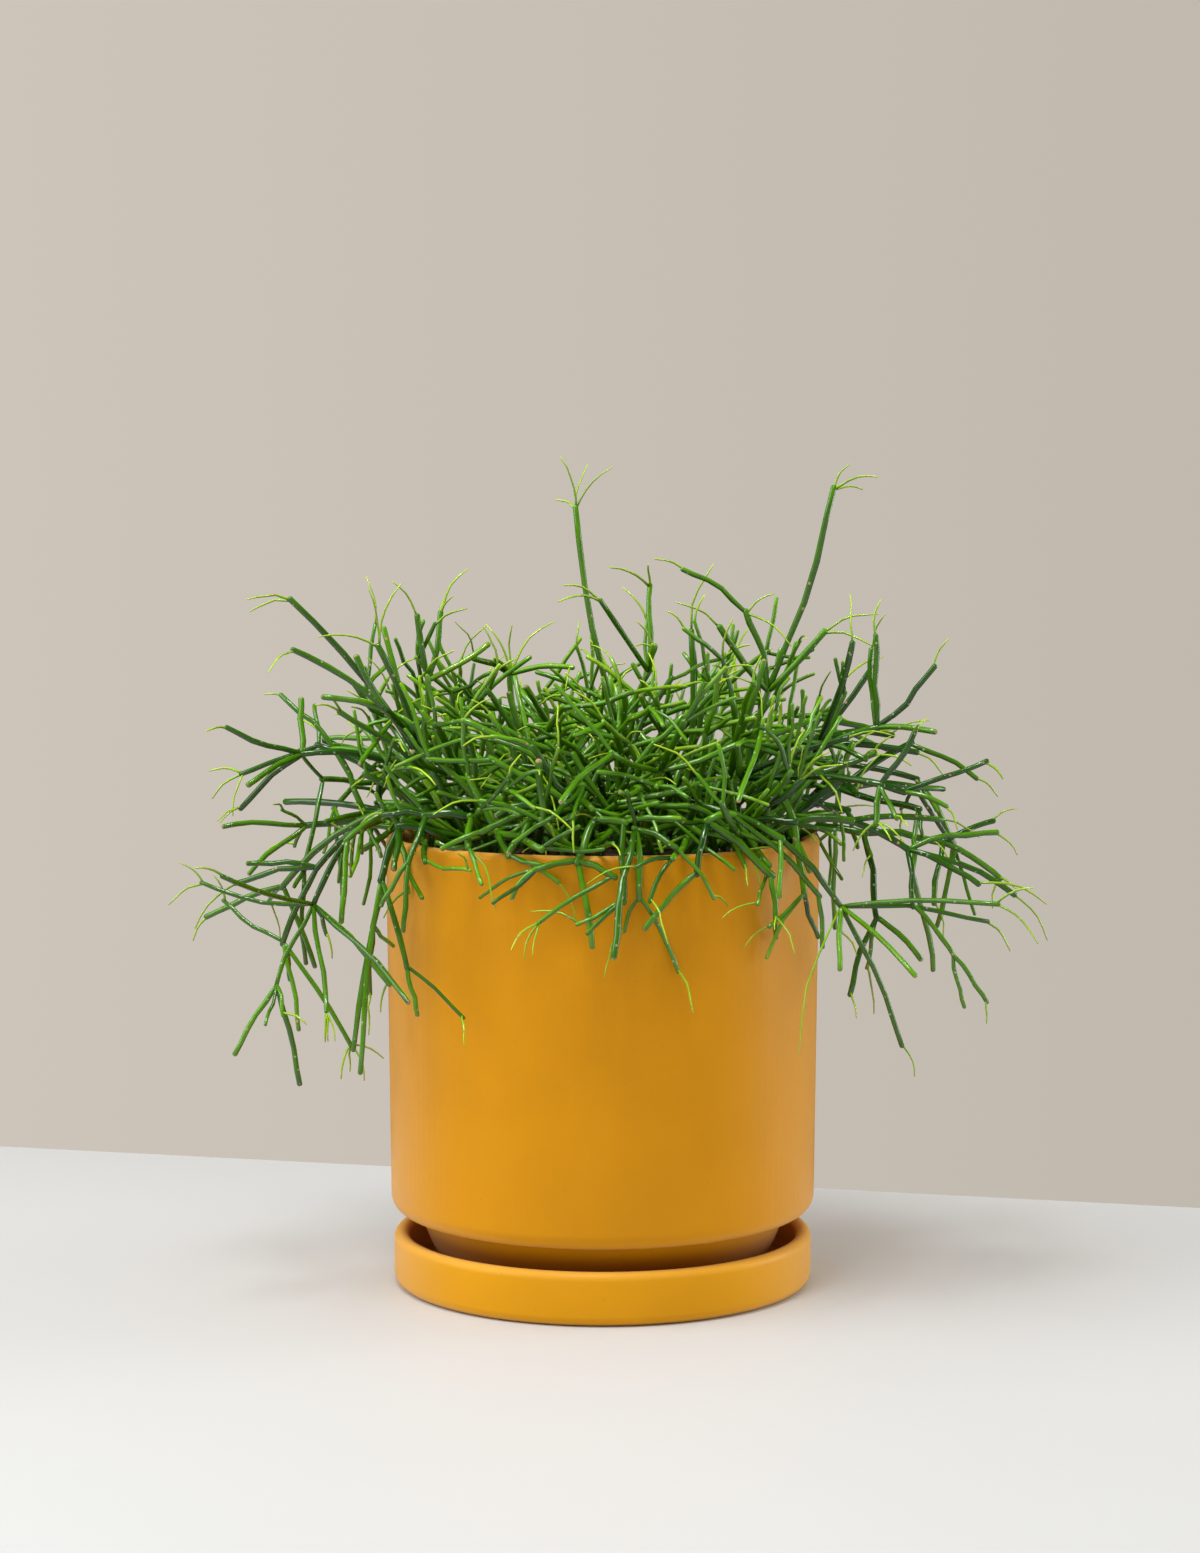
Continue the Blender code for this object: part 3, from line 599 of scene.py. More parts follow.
def seeded_branch(parent, azimuth, elevation, level, last, edge, draw, space):
    """Grow one seeded joint and what it bears. edge is 0 in the pot's middle and 1 at its rim."""
    for _ in range(FILL_TRIES):
        turn = azimuth + draw.uniform(-0.5, 0.5)
        climb = elevation + draw.uniform(-0.35, 0.35)
        length = draw.uniform(30.0, 50.0) * MM
        tip = parent.tip + length * turned_direction(turn, climb)
        branch = Branch(tip, draw.uniform(-1.4, 2.4) * MM, [])
        branch.thin(level)
        branch.aim(parent.tip - SINK * parent.direction(), tip)
        if in_crown(tip) and space.free(branch.route(), branch.radius, parent.tip):
            break
    else:
        return None
    space.hold(branch.route(), branch.radius)
    if level < last:
        fork = turn + draw.uniform(-0.7, 0.7)
        drop = climb - edge * draw.uniform(0.5, 0.9)
        child = seeded_branch(branch, fork, drop, level + 1, last, edge, draw, space)
        if child:
            branch.branches.append(child)
    return branch


def seeded_spray(x, y, draw, space):
    """Grow one seeded rooted stem: upright from the middle, over the rim and down from the edge."""
    edge = min(math.hypot(x, y) / RIM_RING, 1.0)
    out = math.atan2(y, x) + draw.uniform(-0.2, 0.2)
    lean = (5.0 + 26.0 * edge * edge) * MM
    height = (draw.uniform(216.0, 238.0) - 16.0 * edge) * MM
    tip = Vector((x + lean * math.cos(out), y + lean * math.sin(out), height))
    first = Branch(tip, 2.0 * MM * edge, [])
    foot = root_route(x, y)[1]
    first.aim(foot, tip)
    route = [foot + Vector((0.0, 0.0, first.radius)), *first.route()[1:]]
    if not space.free(route, first.radius, foot):
        return None
    space.hold([foot, *first.route()[1:]], first.radius)
    for index in range(3):
        azimuth = out + (index - 1.0) * (1.9 - 1.0 * edge)
        elevation = 1.15 - 1.0 * edge + (0.6 * edge if index == 1 else 0.0)
        last = 3 if edge > 0.8 and index != 1 else 2
        child = seeded_branch(first, azimuth, elevation, 1, last, edge, draw, space)
        if child:
            first.branches.append(child)
    space.close()
    return first


def solid_plan(space):
    """Every rooted stem that has a solid, by node name, as its root's x and y and its first joint."""
    sprays = {}
    for name, (x, y, first) in drawn_sprays().items():
        if grow_rooted(x * MM, y * MM, first, space):
            sprays["stem_" + name] = (x * MM, y * MM, first)
    draw = random.Random(SEED)
    for ring, radius, count, first_angle, last_angle in FILL_RINGS:
        for index in range(count):
            turn = math.radians(first_angle + (last_angle - first_angle) * index / (count - 1))
            x = radius * math.cos(turn)
            y = radius * math.sin(turn)
            first = seeded_spray(x, y, draw, space)
            if first:
                sprays[f"stem_{ring}_{index + 1}"] = (x, y, first)
    return sprays


def in_heart(tip):
    """Whether a tip is in the plant's dense middle, whose top dips between a left and a right lobe."""
    left_lobe, left_dip, right_dip, right_lobe = HEART_DIP
    left = (left_dip - tip.x) / (left_dip - left_lobe)
    right = (tip.x - right_dip) / (right_lobe - right_dip)
    top = HEART_TOP + HEART_RISE * min(max(left, right, 0.0), 1.0)
    return math.hypot(tip.x, tip.y) < HEART_REACH and HEART_LOW < tip.z < top


def in_box(tip):
    """Whether a tip keeps inside the solids' box."""
    low, high = CAD_BOX
    return all(low[axis] < tip[axis] < high[axis] for axis in range(3))


def in_cluster(parent, tip):
    """Whether a tip keeps among the joints round its parent's tip."""
    out = math.hypot(parent.tip.x, parent.tip.y) + CLUSTER_STEP
    return in_box(tip) and tip.z > LOWEST_TIP and math.hypot(tip.x, tip.y) < out


def clear_past(space, points, radius, joint):
    """Whether a fine tube is clear of everything, except near the joint that it grows from."""
    margin = radius + FINE_GAP
    for point in space.samples(points):
        if wall_distance(point) < margin:
            return False
        inside = math.hypot(point.x, point.y) < POT_RIM_RADIUS
        if inside and point.z < soil_top(point.x, point.y) + margin:
            return False
        if (point - joint).length < JOINT_ZONE:
            continue
        for _, index, distance in space.tree.find_range(point, margin + JOINT_RADII[0]):
            if distance < margin + space.taken[index][1]:
                return False
    return True


def fine_branch(parent, young, draw, space):
    """Grow one twig, or one thread where young, from a joint's tip, askew to it, if it finds room."""
    heading = parent.direction()
    for _ in range(FINE_TRIES):
        side = Vector((draw.gauss(0.0, 1.0), draw.gauss(0.0, 1.0), draw.gauss(0.0, 1.0)))
        side = (side - side.dot(heading) * heading).normalized()
        spread = draw.uniform(*TWIG_ANGLES)
        length = draw.uniform(*(THREAD_LENGTHS if young else TWIG_LENGTHS)) * MM
        bow = HAIR_ARCH * length if young else draw.uniform(*TWIG_BOWS) * MM
        tip = parent.tip + length * (math.cos(spread) * heading + math.sin(spread) * side)
        branch = Branch(tip, bow, [], young)
        branch.radius = THREAD_RADIUS if young else TWIG_RADIUS
        branch.aim(parent.tip - SINK * heading, tip)
        route = [branch.point(part) for part in (0.0, 0.25, 0.5, 0.75, 1.0)]
        allowed = in_box(tip) if young else in_heart(tip) or in_cluster(parent, tip)
        if allowed and clear_past(space, route, branch.radius, parent.tip):
            space.hold(route, branch.radius)
            parent.branches.append(branch)
            return branch
    return None


def walk(branch, level=0):
    """A joint and all that it bears, each with the number of joints that it stands on."""
    yield branch, level
    for child in branch.branches:
        yield from walk(child, level + 1)


def add_fine_growth(first, draw, space):
    """Add twigs and threads to the grown joints of one rooted stem."""
    for branch, _ in list(walk(first)):
        if branch.young:
            continue
        ends = not branch.branches
        whorl = any(not child.young for child in branch.branches)
        heart = in_heart(branch.tip)
        for _ in range(draw.choice(TWIG_COUNTS[heart, whorl])):
            twig = fine_branch(branch, False, draw, space)
            if twig and draw.random() < TWIG_THREAD_CHANCE:
                fine_branch(twig, True, draw, space)
        if ends and draw.random() < (HEART_THREAD_CHANCE if heart else OUTER_THREAD_CHANCE):
            for _ in range(draw.choice(THREAD_COUNTS)):
                fine_branch(branch, True, draw, space)
    space.close()


def heart_branch(parent, azimuth, elevation, level, draw, space):
    """Grow one joint of the heart, and another from its tip."""
    heading = parent.direction()
    for _ in range(FINE_TRIES):
        turn = azimuth + draw.uniform(-0.6, 0.6)
        climb = elevation + draw.uniform(-0.5, 0.5)
        tip = parent.tip + draw.uniform(*HEART_LENGTHS) * MM * turned_direction(turn, climb)
        branch = Branch(tip, draw.uniform(*HEART_BOWS) * MM, [])
        branch.thin(level)
        branch.aim(parent.tip - SINK * heading, tip)
        if in_heart(tip) and clear_past(space, branch.route(), branch.radius, parent.tip):
            space.hold(branch.route(), branch.radius)
            parent.branches.append(branch)
            if level < 2:
                fork = turn + draw.uniform(-0.9, 0.9)
                heart_branch(branch, fork, climb - 0.2, level + 1, draw, space)
            return


def heart_spray(draw, space):
    """Grow one rooted stem of the plant's dense heart, from a seeded place on the soil."""
    share = math.sqrt(draw.random())
    out = HEART_SPREAD * share
    turn = draw.uniform(-math.pi, math.pi)
    x, y = out * math.cos(turn), out * math.sin(turn)
    foot = root_route(x, y)[1]
    lean = turn + draw.uniform(-1.3, 1.3)
    reach = draw.uniform(3.0, 14.0 + 14.0 * share) * MM
    rise = draw.triangular(4.0, 34.0, 9.0) * MM
    tip = foot + Vector((reach * math.cos(lean), reach * math.sin(lean), rise))
    first = Branch(tip, draw.uniform(0.0, 2.0) * MM, [])
    first.aim(foot, tip)
    route = [foot + Vector((0.0, 0.0, first.radius)), *first.route()[1:]]
    if not in_heart(tip) or not clear_past(space, route, first.radius, foot):
        return None
    space.hold([foot, *first.route()[1:]], first.radius)
    for _ in range(draw.choice((2, 3, 3, 4))):
        azimuth = turn + draw.uniform(-2.6, 2.6) * (1.0 - 0.45 * share)
        heart_branch(first, azimuth, draw.uniform(-0.3, 1.25) - 0.5 * share, 1, draw, space)
    space.close()
    return x, y, first


@functools.lru_cache(maxsize=1)
def plant_plan(heart_roots, twig_seed):
    """All rooted stems by name: those that have solids, and those of the heart."""
    space = Space()
    space.close()
    sprays = solid_plan(space)
    draw = random.Random(HEART_SEED)
    heart = {}
    for index in range(heart_roots):
        grown = heart_spray(draw, space)
        if grown:
            heart[f"heart_stem_{index + 1:02d}"] = grown
    draw = random.Random(twig_seed)
    for _, _, first in [*sprays.values(), *heart.values()]:
        add_fine_growth(first, draw, space)
    return sprays, heart


class PotSettings(bpy.types.PropertyGroup):
    """Sizes and colours of the pot and the saucer."""

    turned_steps: IntProperty(
        name="Steps round", description="Number of steps that the pot and the saucer are turned in",
        default=144, min=24, max=256)
    glaze_colour: FloatVectorProperty(
        name="Glaze", description="Colour of the ochre glaze", subtype="COLOR", size=3,
        default=(0.585, 0.248, 0.0), min=0.0, max=1.0)
    # Painted light: the same glaze as the pot, painted lighter on the saucer for the light that the table
    # throws up.
    saucer_glaze_painted_lighter_colour: FloatVectorProperty(
        name="Saucer glaze, painted lighter", description="Colour of the ochre glaze on the saucer, painted lighter for light thrown up by the table", subtype="COLOR", size=3,
        default=(0.655, 0.297, 0.002), min=0.0, max=1.0)
    # Partly the glaze's own paler colour where it runs thin on the rims, partly a painted highlight.
    thin_glaze_and_highlight_colour: FloatVectorProperty(
        name="Thin glaze", description="Colour of the glaze where it runs thin and of the highlight painted on the rims", subtype="COLOR",
        size=3, default=(0.78, 0.4, 0.05), min=0.0, max=1.0)
    # Painted shade: the brown that the glaze takes on the foot and inside the saucer stands in for shade.
    painted_shade_colour: FloatVectorProperty(
        name="Brown painted shade", description="Colour of the shade painted on the foot and inside the saucer",
        subtype="COLOR", size=3, default=(0.27, 0.075, 0.004), min=0.0, max=1.0)
    # Painted sheen: a reflection painted into the glaze's colour at its turned-away edges.
    painted_sheen_colour: FloatVectorProperty(
        name="Painted sheen", description="Colour of the pale sheen painted on the glaze where it turns away", subtype="COLOR",
        size=3, default=(0.85, 0.6, 0.34), min=0.0, max=1.0)


class SoilSettings(bpy.types.PropertyGroup):
    """Sizes and colours of the potting mix."""

    lump_height: FloatProperty(
        name="Lump height", description="How far the lumps of the potting mix stand up", unit="LENGTH",
        default=2.6 * MM, min=0.0, max=6.0 * MM)
    crumb_count: IntProperty(
        name="Crumbs", description="Number of bark crumbs on the potting mix", default=420, min=0, max=1500)
    soil_colour: FloatVectorProperty(
        name="Potting mix", description="Colour of the moist potting mix", subtype="COLOR", size=3,
        default=(0.022, 0.013, 0.008), min=0.0, max=1.0)
    bark_colour: FloatVectorProperty(
        name="Bark", description="Colour of the bark crumbs", subtype="COLOR", size=3,
        default=(0.1, 0.05, 0.026), min=0.0, max=1.0)


class StemSettings(bpy.types.PropertyGroup):
    """Sizes and colours of the cactus."""

    heart_roots: IntProperty(
        name="Heart stems", description="Number of places tried for the extra rooted stems of the heart",
        default=HEART_ROOTS, min=0, max=300)
    twig_seed: IntProperty(
        name="Twig seed", description="Seed of the twigs and threads", default=5, min=0)
    old_colour: FloatVectorProperty(
        name="Old joints", description="Colour of the oldest joints", subtype="COLOR", size=3,
        default=(0.013, 0.068, 0.001), min=0.0, max=1.0)
    grown_colour: FloatVectorProperty(
        name="Grown joints", description="Colour of the grown joints", subtype="COLOR", size=3,
        default=(0.098, 0.29, 0.003), min=0.0, max=1.0)
    young_colour: FloatVectorProperty(
        name="Young shoots", description="Colour of the young shoots", subtype="COLOR", size=3,
        default=(0.42, 0.6, 0.025), min=0.0, max=1.0)
    cork_colour: FloatVectorProperty(
        name="Cork", description="Colour of the corky specks and old tips", subtype="COLOR", size=3,
        default=(0.42, 0.27, 0.13), min=0.0, max=1.0)


class StageSettings(bpy.types.PropertyGroup):
    """The table top, the surroundings and the light."""

    table_colour: FloatVectorProperty(
        name="Table top", description="Colour of the table top", subtype="COLOR", size=3,
        default=(0.628, 0.645, 0.66), min=0.0, max=1.0)
    left_colour: FloatVectorProperty(
        name="Surroundings left", description="Colour of the surroundings on the left", subtype="COLOR",
        size=3, default=(0.61, 0.555, 0.49), min=0.0, max=1.0)
    right_colour: FloatVectorProperty(
        name="Surroundings right", description="Colour of the surroundings on the right", subtype="COLOR",
        size=3, default=(0.53, 0.485, 0.425), min=0.0, max=1.0)
    key_power: FloatProperty(
        name="Key light", description="Power of the soft light on the left, in watts", default=14.0, min=0.0)
    side_power: FloatProperty(
        name="Side light", description="Power of the soft light on the right, in watts", default=4.0, min=0.0)
    top_power: FloatProperty(
        name="Top light", description="Power of the soft light above, in watts", default=7.6, min=0.0)
    front_power: FloatProperty(
        name="Front light", description="Power of the soft light in front, in watts", default=1.0, min=0.0)


def deselect_all():
    for made in bpy.context.selected_objects:
        made.select_set(False)


def face_outwards():
    """Turn all faces of the mesh in edit mode outwards."""
    bpy.ops.mesh.select_all(action="SELECT")
    bpy.ops.mesh.normals_make_consistent(inside=False)


def select_vertices(made, wanted):
    """Select the vertices that wanted is true for, and go to edit mode."""
    for vertex in made.data.vertices:
        vertex.select = wanted(vertex)
    bpy.ops.object.mode_set(mode="EDIT")
    bpy.ops.mesh.select_mode(type="VERT")


def extrude_rings(rings):
    """Extrude the selected ring through the ones after it, each a height and a width."""
    for (low, size), (high, next_size) in zip(rings, rings[1:]):
        bpy.ops.mesh.extrude_region_move(TRANSFORM_OT_translate={"value": (0.0, 0.0, high - low)})
        share = next_size / size
        bpy.ops.transform.resize(value=(share, share, 1.0), center_override=(0.0, 0.0, high))


def own_copy(shape):
    """A copy of an object, with its own mesh."""
    made = shape.copy()
    made.data = shape.data.copy()
    bpy.context.collection.objects.link(made)
    return made


def join_pieces(pieces):
    """Join objects to the first of them."""
    deselect_all()
    for piece in pieces:
        piece.select_set(True)
    bpy.context.view_layer.objects.active = pieces[0]
    bpy.ops.object.join()
    return pieces[0]


def finish_piece(made, name, looks, replaced=()):
    """Name a modelled piece, give it its materials and let it ride on the part."""
    made.name = name
    made.data.name = name
    made.data.materials.clear()
    for look in looks:
        made.data.materials.append(look)
    for node in replaced:
        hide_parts(node)
    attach(made, BODY)


# Kinds of socket, and the places of the colour sockets in a Mix node
COLOUR = "NodeSocketColor"
VALUE = "NodeSocketFloat"
FIRST_COLOUR = 6
SECOND_COLOUR = 7
MIXED_COLOUR = 2
SURFACE_OUTPUTS = [("Colour", COLOUR), ("Roughness", VALUE), ("Height", VALUE)]


def fill_sockets(tree, node, inputs):
    """Set a node's sockets to numbers, or link them to other nodes' sockets."""
    for key, value in inputs.items():
        if isinstance(value, bpy.types.NodeSocket):
            tree.links.new(value, node.inputs[key])
        else:
            node.inputs[key].default_value = value


def add_node(tree, kind, inputs=None, **values):
    """A new node with its settings and its sockets filled in."""
    made = tree.nodes.new(kind)
    for key, value in values.items():
        setattr(made, key, value)
    fill_sockets(tree, made, inputs or {})
    return made


def calculate(tree, operation, first, second=0.5):
    return add_node(tree, "ShaderNodeMath", {0: first, 1: second}, operation=operation).outputs[0]


def multiply(tree, first, second):
    return calculate(tree, "MULTIPLY", first, second)


def blend_colours(tree, factor, first, second, blending="MIX"):
    made = add_node(
        tree, "ShaderNodeMix", {"Factor": factor, FIRST_COLOUR: first, SECOND_COLOUR: second},
        data_type="RGBA", blend_type=blending)
    return made.outputs[MIXED_COLOUR]


def tinted(tree, colour, shade):
    """A colour multiplied by a shade."""
    return blend_colours(tree, 1.0, colour, shade, "MULTIPLY")


def ramp(tree, value, low, high, first=0.0, last=1.0, smooth=False):
    """Bring a value from low..high to first..last."""
    made = add_node(tree, "ShaderNodeMapRange", {
        "Value": value, "From Min": low, "From Max": high, "To Min": first, "To Max": last,
    })
    if smooth:
        made.interpolation_type = "SMOOTHSTEP"
    return made.outputs["Result"]


def coordinates(tree, kind="Object"):
    return add_node(tree, "ShaderNodeTexCoord").outputs[kind]


def separate(tree, vector):
    return add_node(tree, "ShaderNodeSeparateXYZ", {0: vector}).outputs


def noise(tree, vector, scale, detail=2.0, roughness=0.5):
    made = add_node(tree, "ShaderNodeTexNoise", {
        "Vector": vector, "Scale": scale, "Detail": detail, "Roughness": roughness,
    })
    return made.outputs["Fac"]


def cells(tree, vector, scale):
    return add_node(tree, "ShaderNodeTexVoronoi", {"Vector": vector, "Scale": scale}).outputs


def attribute(tree, name):
    return add_node(tree, "ShaderNodeAttribute", attribute_name=name).outputs["Fac"]


def new_group(name, inputs, outputs):
    """A shader node group with its sockets, each a name, a kind and, for inputs, a value."""
    tree = bpy.data.node_groups.new(name, "ShaderNodeTree")
    for title, kind, value in inputs:
        socket = tree.interface.new_socket(title, in_out="INPUT", socket_type=kind)
        socket.default_value = value
    for title, kind in outputs:
        tree.interface.new_socket(title, in_out="OUTPUT", socket_type=kind)
    return tree, tree.nodes.new("NodeGroupInput").outputs, tree.nodes.new("NodeGroupOutput")


def place_group(tree, group, inputs):
    return add_node(tree, "ShaderNodeGroup", inputs, node_tree=group).outputs


def new_material(name):
    """An empty material with its Principled shader."""
    made = bpy.data.materials.new(name)
    made.use_nodes = True
    return made, made.node_tree, made.node_tree.nodes["Principled BSDF"]


def shape_normal(tree, height, distance):
    """The normal of a fine relief, which stands up by distance where its height is 1."""
    made = add_node(tree, "ShaderNodeBump", {"Height": height, "Distance": distance, "Strength": 1.0})
    return made.outputs[0]


def opaque(colour):
    return (*colour, 1.0)


def edge_share(tree, low, high, first, last):
    """A value that goes from first, where a surface faces the eye, to last, where it turns away."""
    facing = add_node(tree, "ShaderNodeLayerWeight", {"Blend": 0.5}).outputs["Facing"]
    return ramp(tree, facing, low, high, first, last, smooth=True)


def painted_top_light_share(tree, first, last):
    """A value for painted light and shade: first where a surface faces down, last where it faces up to the
    light.
    """
    up = separate(tree, coordinates(tree, "Normal"))["Z"]
    return ramp(tree, up, -0.8, 0.8, first, last, smooth=True)


@functools.lru_cache(maxsize=1)
def glaze_group():
    """Glaze on fired clay: pale where thin, with a painted highlight on the rim, painted shade in brown on
    the foot and inside the saucer, a little cloudy, with pin holes.
    """
    tree, taken, given = new_group(
        "Pooled glaze",
        [
            ("Glaze", COLOUR, (0.6, 0.3, 0.01, 1.0)), ("Thin glaze", COLOUR, (0.8, 0.5, 0.1, 1.0)),
            ("Shaded glaze", COLOUR, (0.3, 0.1, 0.01, 1.0)), ("Rim height", VALUE, 0.1),
            ("Rim width", VALUE, 0.001), ("Shaded height", VALUE, 0.0), ("Shaded radius", VALUE, 0.0),
        ],
        SURFACE_OUTPUTS,
    )
    place = coordinates(tree)
    x, y, z = separate(tree, place)
    # Paler towards the top of the rim: partly the glaze running thin, partly a painted highlight.
    thin = calculate(tree, "SUBTRACT", taken["Rim height"], taken["Rim width"])
    thin = ramp(tree, z, thin, taken["Rim height"], 0.0, 0.75)
    colour = blend_colours(tree, thin, taken["Glaze"], taken["Thin glaze"])
    squares = [calculate(tree, "POWER", side, 2.0) for side in (x, y)]
    out = calculate(tree, "SQRT", calculate(tree, "ADD", *squares))
    # Painted shade: brown below the shaded height, on the foot, and inside the shaded radius, in the saucer.
    low = calculate(tree, "SUBTRACT", taken["Shaded height"], z)
    low = ramp(tree, low, 0.0, FOOT_SHADE_FADE, 0.0, 0.95, smooth=True)
    inside = calculate(tree, "SUBTRACT", taken["Shaded radius"], out)
    inside = ramp(tree, inside, 0.0, INSIDE_SHADE_FADE, 0.0, 0.85, smooth=True)
    painted_shade = calculate(tree, "MAXIMUM", low, inside)
    colour = blend_colours(tree, painted_shade, colour, taken["Shaded glaze"])
    clouds = noise(tree, place, scale=22.0, detail=3.0)
    colour = tinted(tree, colour, ramp(tree, clouds, 0.25, 0.75, 0.95, 1.05))
    pins = ramp(tree, cells(tree, place, scale=210.0)["Distance"], 0.07, 0.045)
    colour = blend_colours(tree, multiply(tree, pins, 0.3), colour, PIN_COLOUR)
    peel = multiply(tree, noise(tree, place, scale=420.0), 0.25)
    height = calculate(tree, "ADD", peel, noise(tree, place, scale=45.0))
    rough = ramp(tree, noise(tree, place, scale=90.0, detail=3.0), 0.3, 0.7, 0.38, 0.46)
    fill_sockets(tree, given, {"Colour": colour, "Roughness": rough, "Height": height})
    return tree


def glaze_material(name, colour, rim_height, rim_width, shaded_height, shaded_radius):
    settings = bpy.context.scene.cactus_pot
    made, tree, shader = new_material(name)
    glaze = place_group(tree, glaze_group(), {
        "Glaze": opaque(colour), "Thin glaze": opaque(settings.thin_glaze_and_highlight_colour),
        "Shaded glaze": opaque(settings.painted_shade_colour),
        "Rim height": rim_height, "Rim width": rim_width,
        "Shaded height": shaded_height, "Shaded radius": shaded_radius,
    })
    # Painted sheen: a pale reflection painted into the base colour where the glaze turns away from the eye.
    sheen = edge_share(tree, 0.25, 0.9, 0.0, 0.18)
    fill_sockets(tree, shader, {
        "Base Color": blend_colours(tree, sheen, glaze["Colour"], opaque(settings.painted_sheen_colour)),
        "Roughness": glaze["Roughness"],
        "Normal": shape_normal(tree, glaze["Height"], GLAZE_RELIEF),
        "Specular IOR Level": 0.16,
    })
    return made


@functools.lru_cache(maxsize=1)
def earth_group():
    """Moist crumbly matter: dark and light grains, and their height."""
    tree, taken, given = new_group(
        "Moist crumbs",
        [
            ("Dark", COLOUR, (0.02, 0.01, 0.01, 1.0)), ("Light", COLOUR, (0.1, 0.05, 0.03, 1.0)),
            ("Grain", VALUE, 500.0),
        ],
        SURFACE_OUTPUTS,
    )
    place = coordinates(tree)
    grains = cells(tree, place, taken["Grain"])
    clouds = noise(tree, place, multiply(tree, taken["Grain"], 0.35), detail=4.0, roughness=0.65)
    tint = add_node(tree, "ShaderNodeSeparateColor", {0: grains["Color"]}).outputs[0]
    light = multiply(tree, ramp(tree, clouds, 0.4, 0.72), ramp(tree, tint, 0.0, 1.0, 0.35, 1.0))
    fill_sockets(tree, given, {
        "Colour": blend_colours(tree, light, taken["Dark"], taken["Light"]),
        "Roughness": ramp(tree, clouds, 0.2, 0.8, 0.95, 0.7),
        "Height": calculate(tree, "SUBTRACT", clouds, grains["Distance"]),
    })
    return tree


def earth_material(name, dark, light, grain, relief):
    made, tree, shader = new_material(name)
    earth = place_group(tree, earth_group(), {"Dark": opaque(dark), "Light": opaque(light), "Grain": grain})
    fill_sockets(tree, shader, {
        "Base Color": earth["Colour"],
        "Roughness": earth["Roughness"],
        "Normal": shape_normal(tree, earth["Height"], relief),
        "Specular IOR Level": 0.35,
    })
    return made


@functools.lru_cache(maxsize=1)
def skin_group():
    """Waxy skin that follows a round joint: fine lengthwise wrinkles, pale areoles and corky specks."""
    tree, taken, given = new_group(
        "Waxy skin",
        [("Wrinkles", VALUE, 1.0), ("Areoles", VALUE, 1.0), ("Specks", VALUE, 1.0)],
        [
            ("Shade", VALUE), ("Areole mask", VALUE), ("Speck mask", VALUE), ("Roughness", VALUE),
            ("Height", VALUE),
        ],
    )
    turn, along, _ = separate(tree, add_node(tree, "ShaderNodeUVMap", uv_map="Along").outputs[0])
    turn = multiply(tree, turn, 2.0 * math.pi)
    ring = add_node(tree, "ShaderNodeCombineXYZ", {
        0: calculate(tree, "COSINE", turn), 1: calculate(tree, "SINE", turn), 2: multiply(tree, along, 0.35),
    }).outputs[0]
    wrinkles = noise(tree, ring, scale=4.5, detail=3.0, roughness=0.6)
    place = coordinates(tree)
    areole = ramp(tree, cells(tree, place, scale=260.0)["Distance"], 0.15, 0.07)
    areole = multiply(tree, areole, taken["Areoles"])
    rag = multiply(tree, noise(tree, place, scale=900.0, detail=3.0, roughness=0.7), 0.12)
    speck = calculate(tree, "ADD", cells(tree, place, scale=150.0)["Distance"], rag)
    speck = multiply(tree, ramp(tree, speck, 0.17, 0.12), taken["Specks"])
    streaks = multiply(tree, calculate(tree, "SUBTRACT", wrinkles, 0.5), taken["Wrinkles"])
    mottle = calculate(tree, "ADD", noise(tree, place, scale=75.0, detail=3.0), streaks)
    mottle = multiply(tree, calculate(tree, "ADD", mottle, 0.5), 0.5)
    height = multiply(tree, wrinkles, taken["Wrinkles"])
    height = calculate(tree, "ADD", height, multiply(tree, areole, 0.6))
    height = calculate(tree, "ADD", height, multiply(tree, speck, 0.5))
    fill_sockets(tree, given, {
        "Shade": ramp(tree, mottle, 0.3, 0.7, 0.6, 1.4),
        "Areole mask": areole,
        "Speck mask": speck,
        "Roughness": ramp(tree, wrinkles, 0.25, 0.75, 0.1, 0.24),
        "Height": height,
    })
    return tree


def skin_material(name, wrinkles, areoles, specks):
    """The green skin, dark on old joints and yellow-green on young ones, tan on an old blunt tip, with
    painted light on its upper side and painted shade below.
    """
    settings = bpy.context.scene.cactus_stems
    cork = opaque(settings.cork_colour)
    made, tree, shader = new_material(name)
    skin = place_group(tree, skin_group(), {"Wrinkles": wrinkles, "Areoles": areoles, "Specks": specks})
    # Darker for older joints, and deep in the heart also for painted shade.
    age_and_shade = attribute(tree, "youth")
    grown = ramp(tree, age_and_shade, 0.0, 0.5)
    young = ramp(tree, age_and_shade, 0.5, 1.0)
    colour = blend_colours(tree, grown, opaque(settings.old_colour), opaque(settings.grown_colour))
    colour = blend_colours(tree, young, colour, opaque(settings.young_colour))
    colour = tinted(tree, colour, skin["Shade"])
    # Painted light and shade: the joints' upper sides lighter, their undersides darker.
    colour = tinted(tree, colour, painted_top_light_share(tree, 0.5, 1.22))
    colour = blend_colours(tree, multiply(tree, skin["Areole mask"], 0.6), colour, AREOLE_COLOUR)
    colour = blend_colours(tree, skin["Speck mask"], colour, cork)
    fill_sockets(tree, shader, {
        "Base Color": blend_colours(tree, attribute(tree, "tip"), colour, cork),
        "Roughness": skin["Roughness"],
        "Normal": shape_normal(tree, skin["Height"], SKIN_RELIEF),
        "Specular IOR Level": 0.58,
    })
    return made


@functools.lru_cache(maxsize=1)
def skin_materials():
    return [skin_material("grown_skin", 1.0, 1.0, 1.0), skin_material("young_skin", 0.2, 0.0, 0.0)]


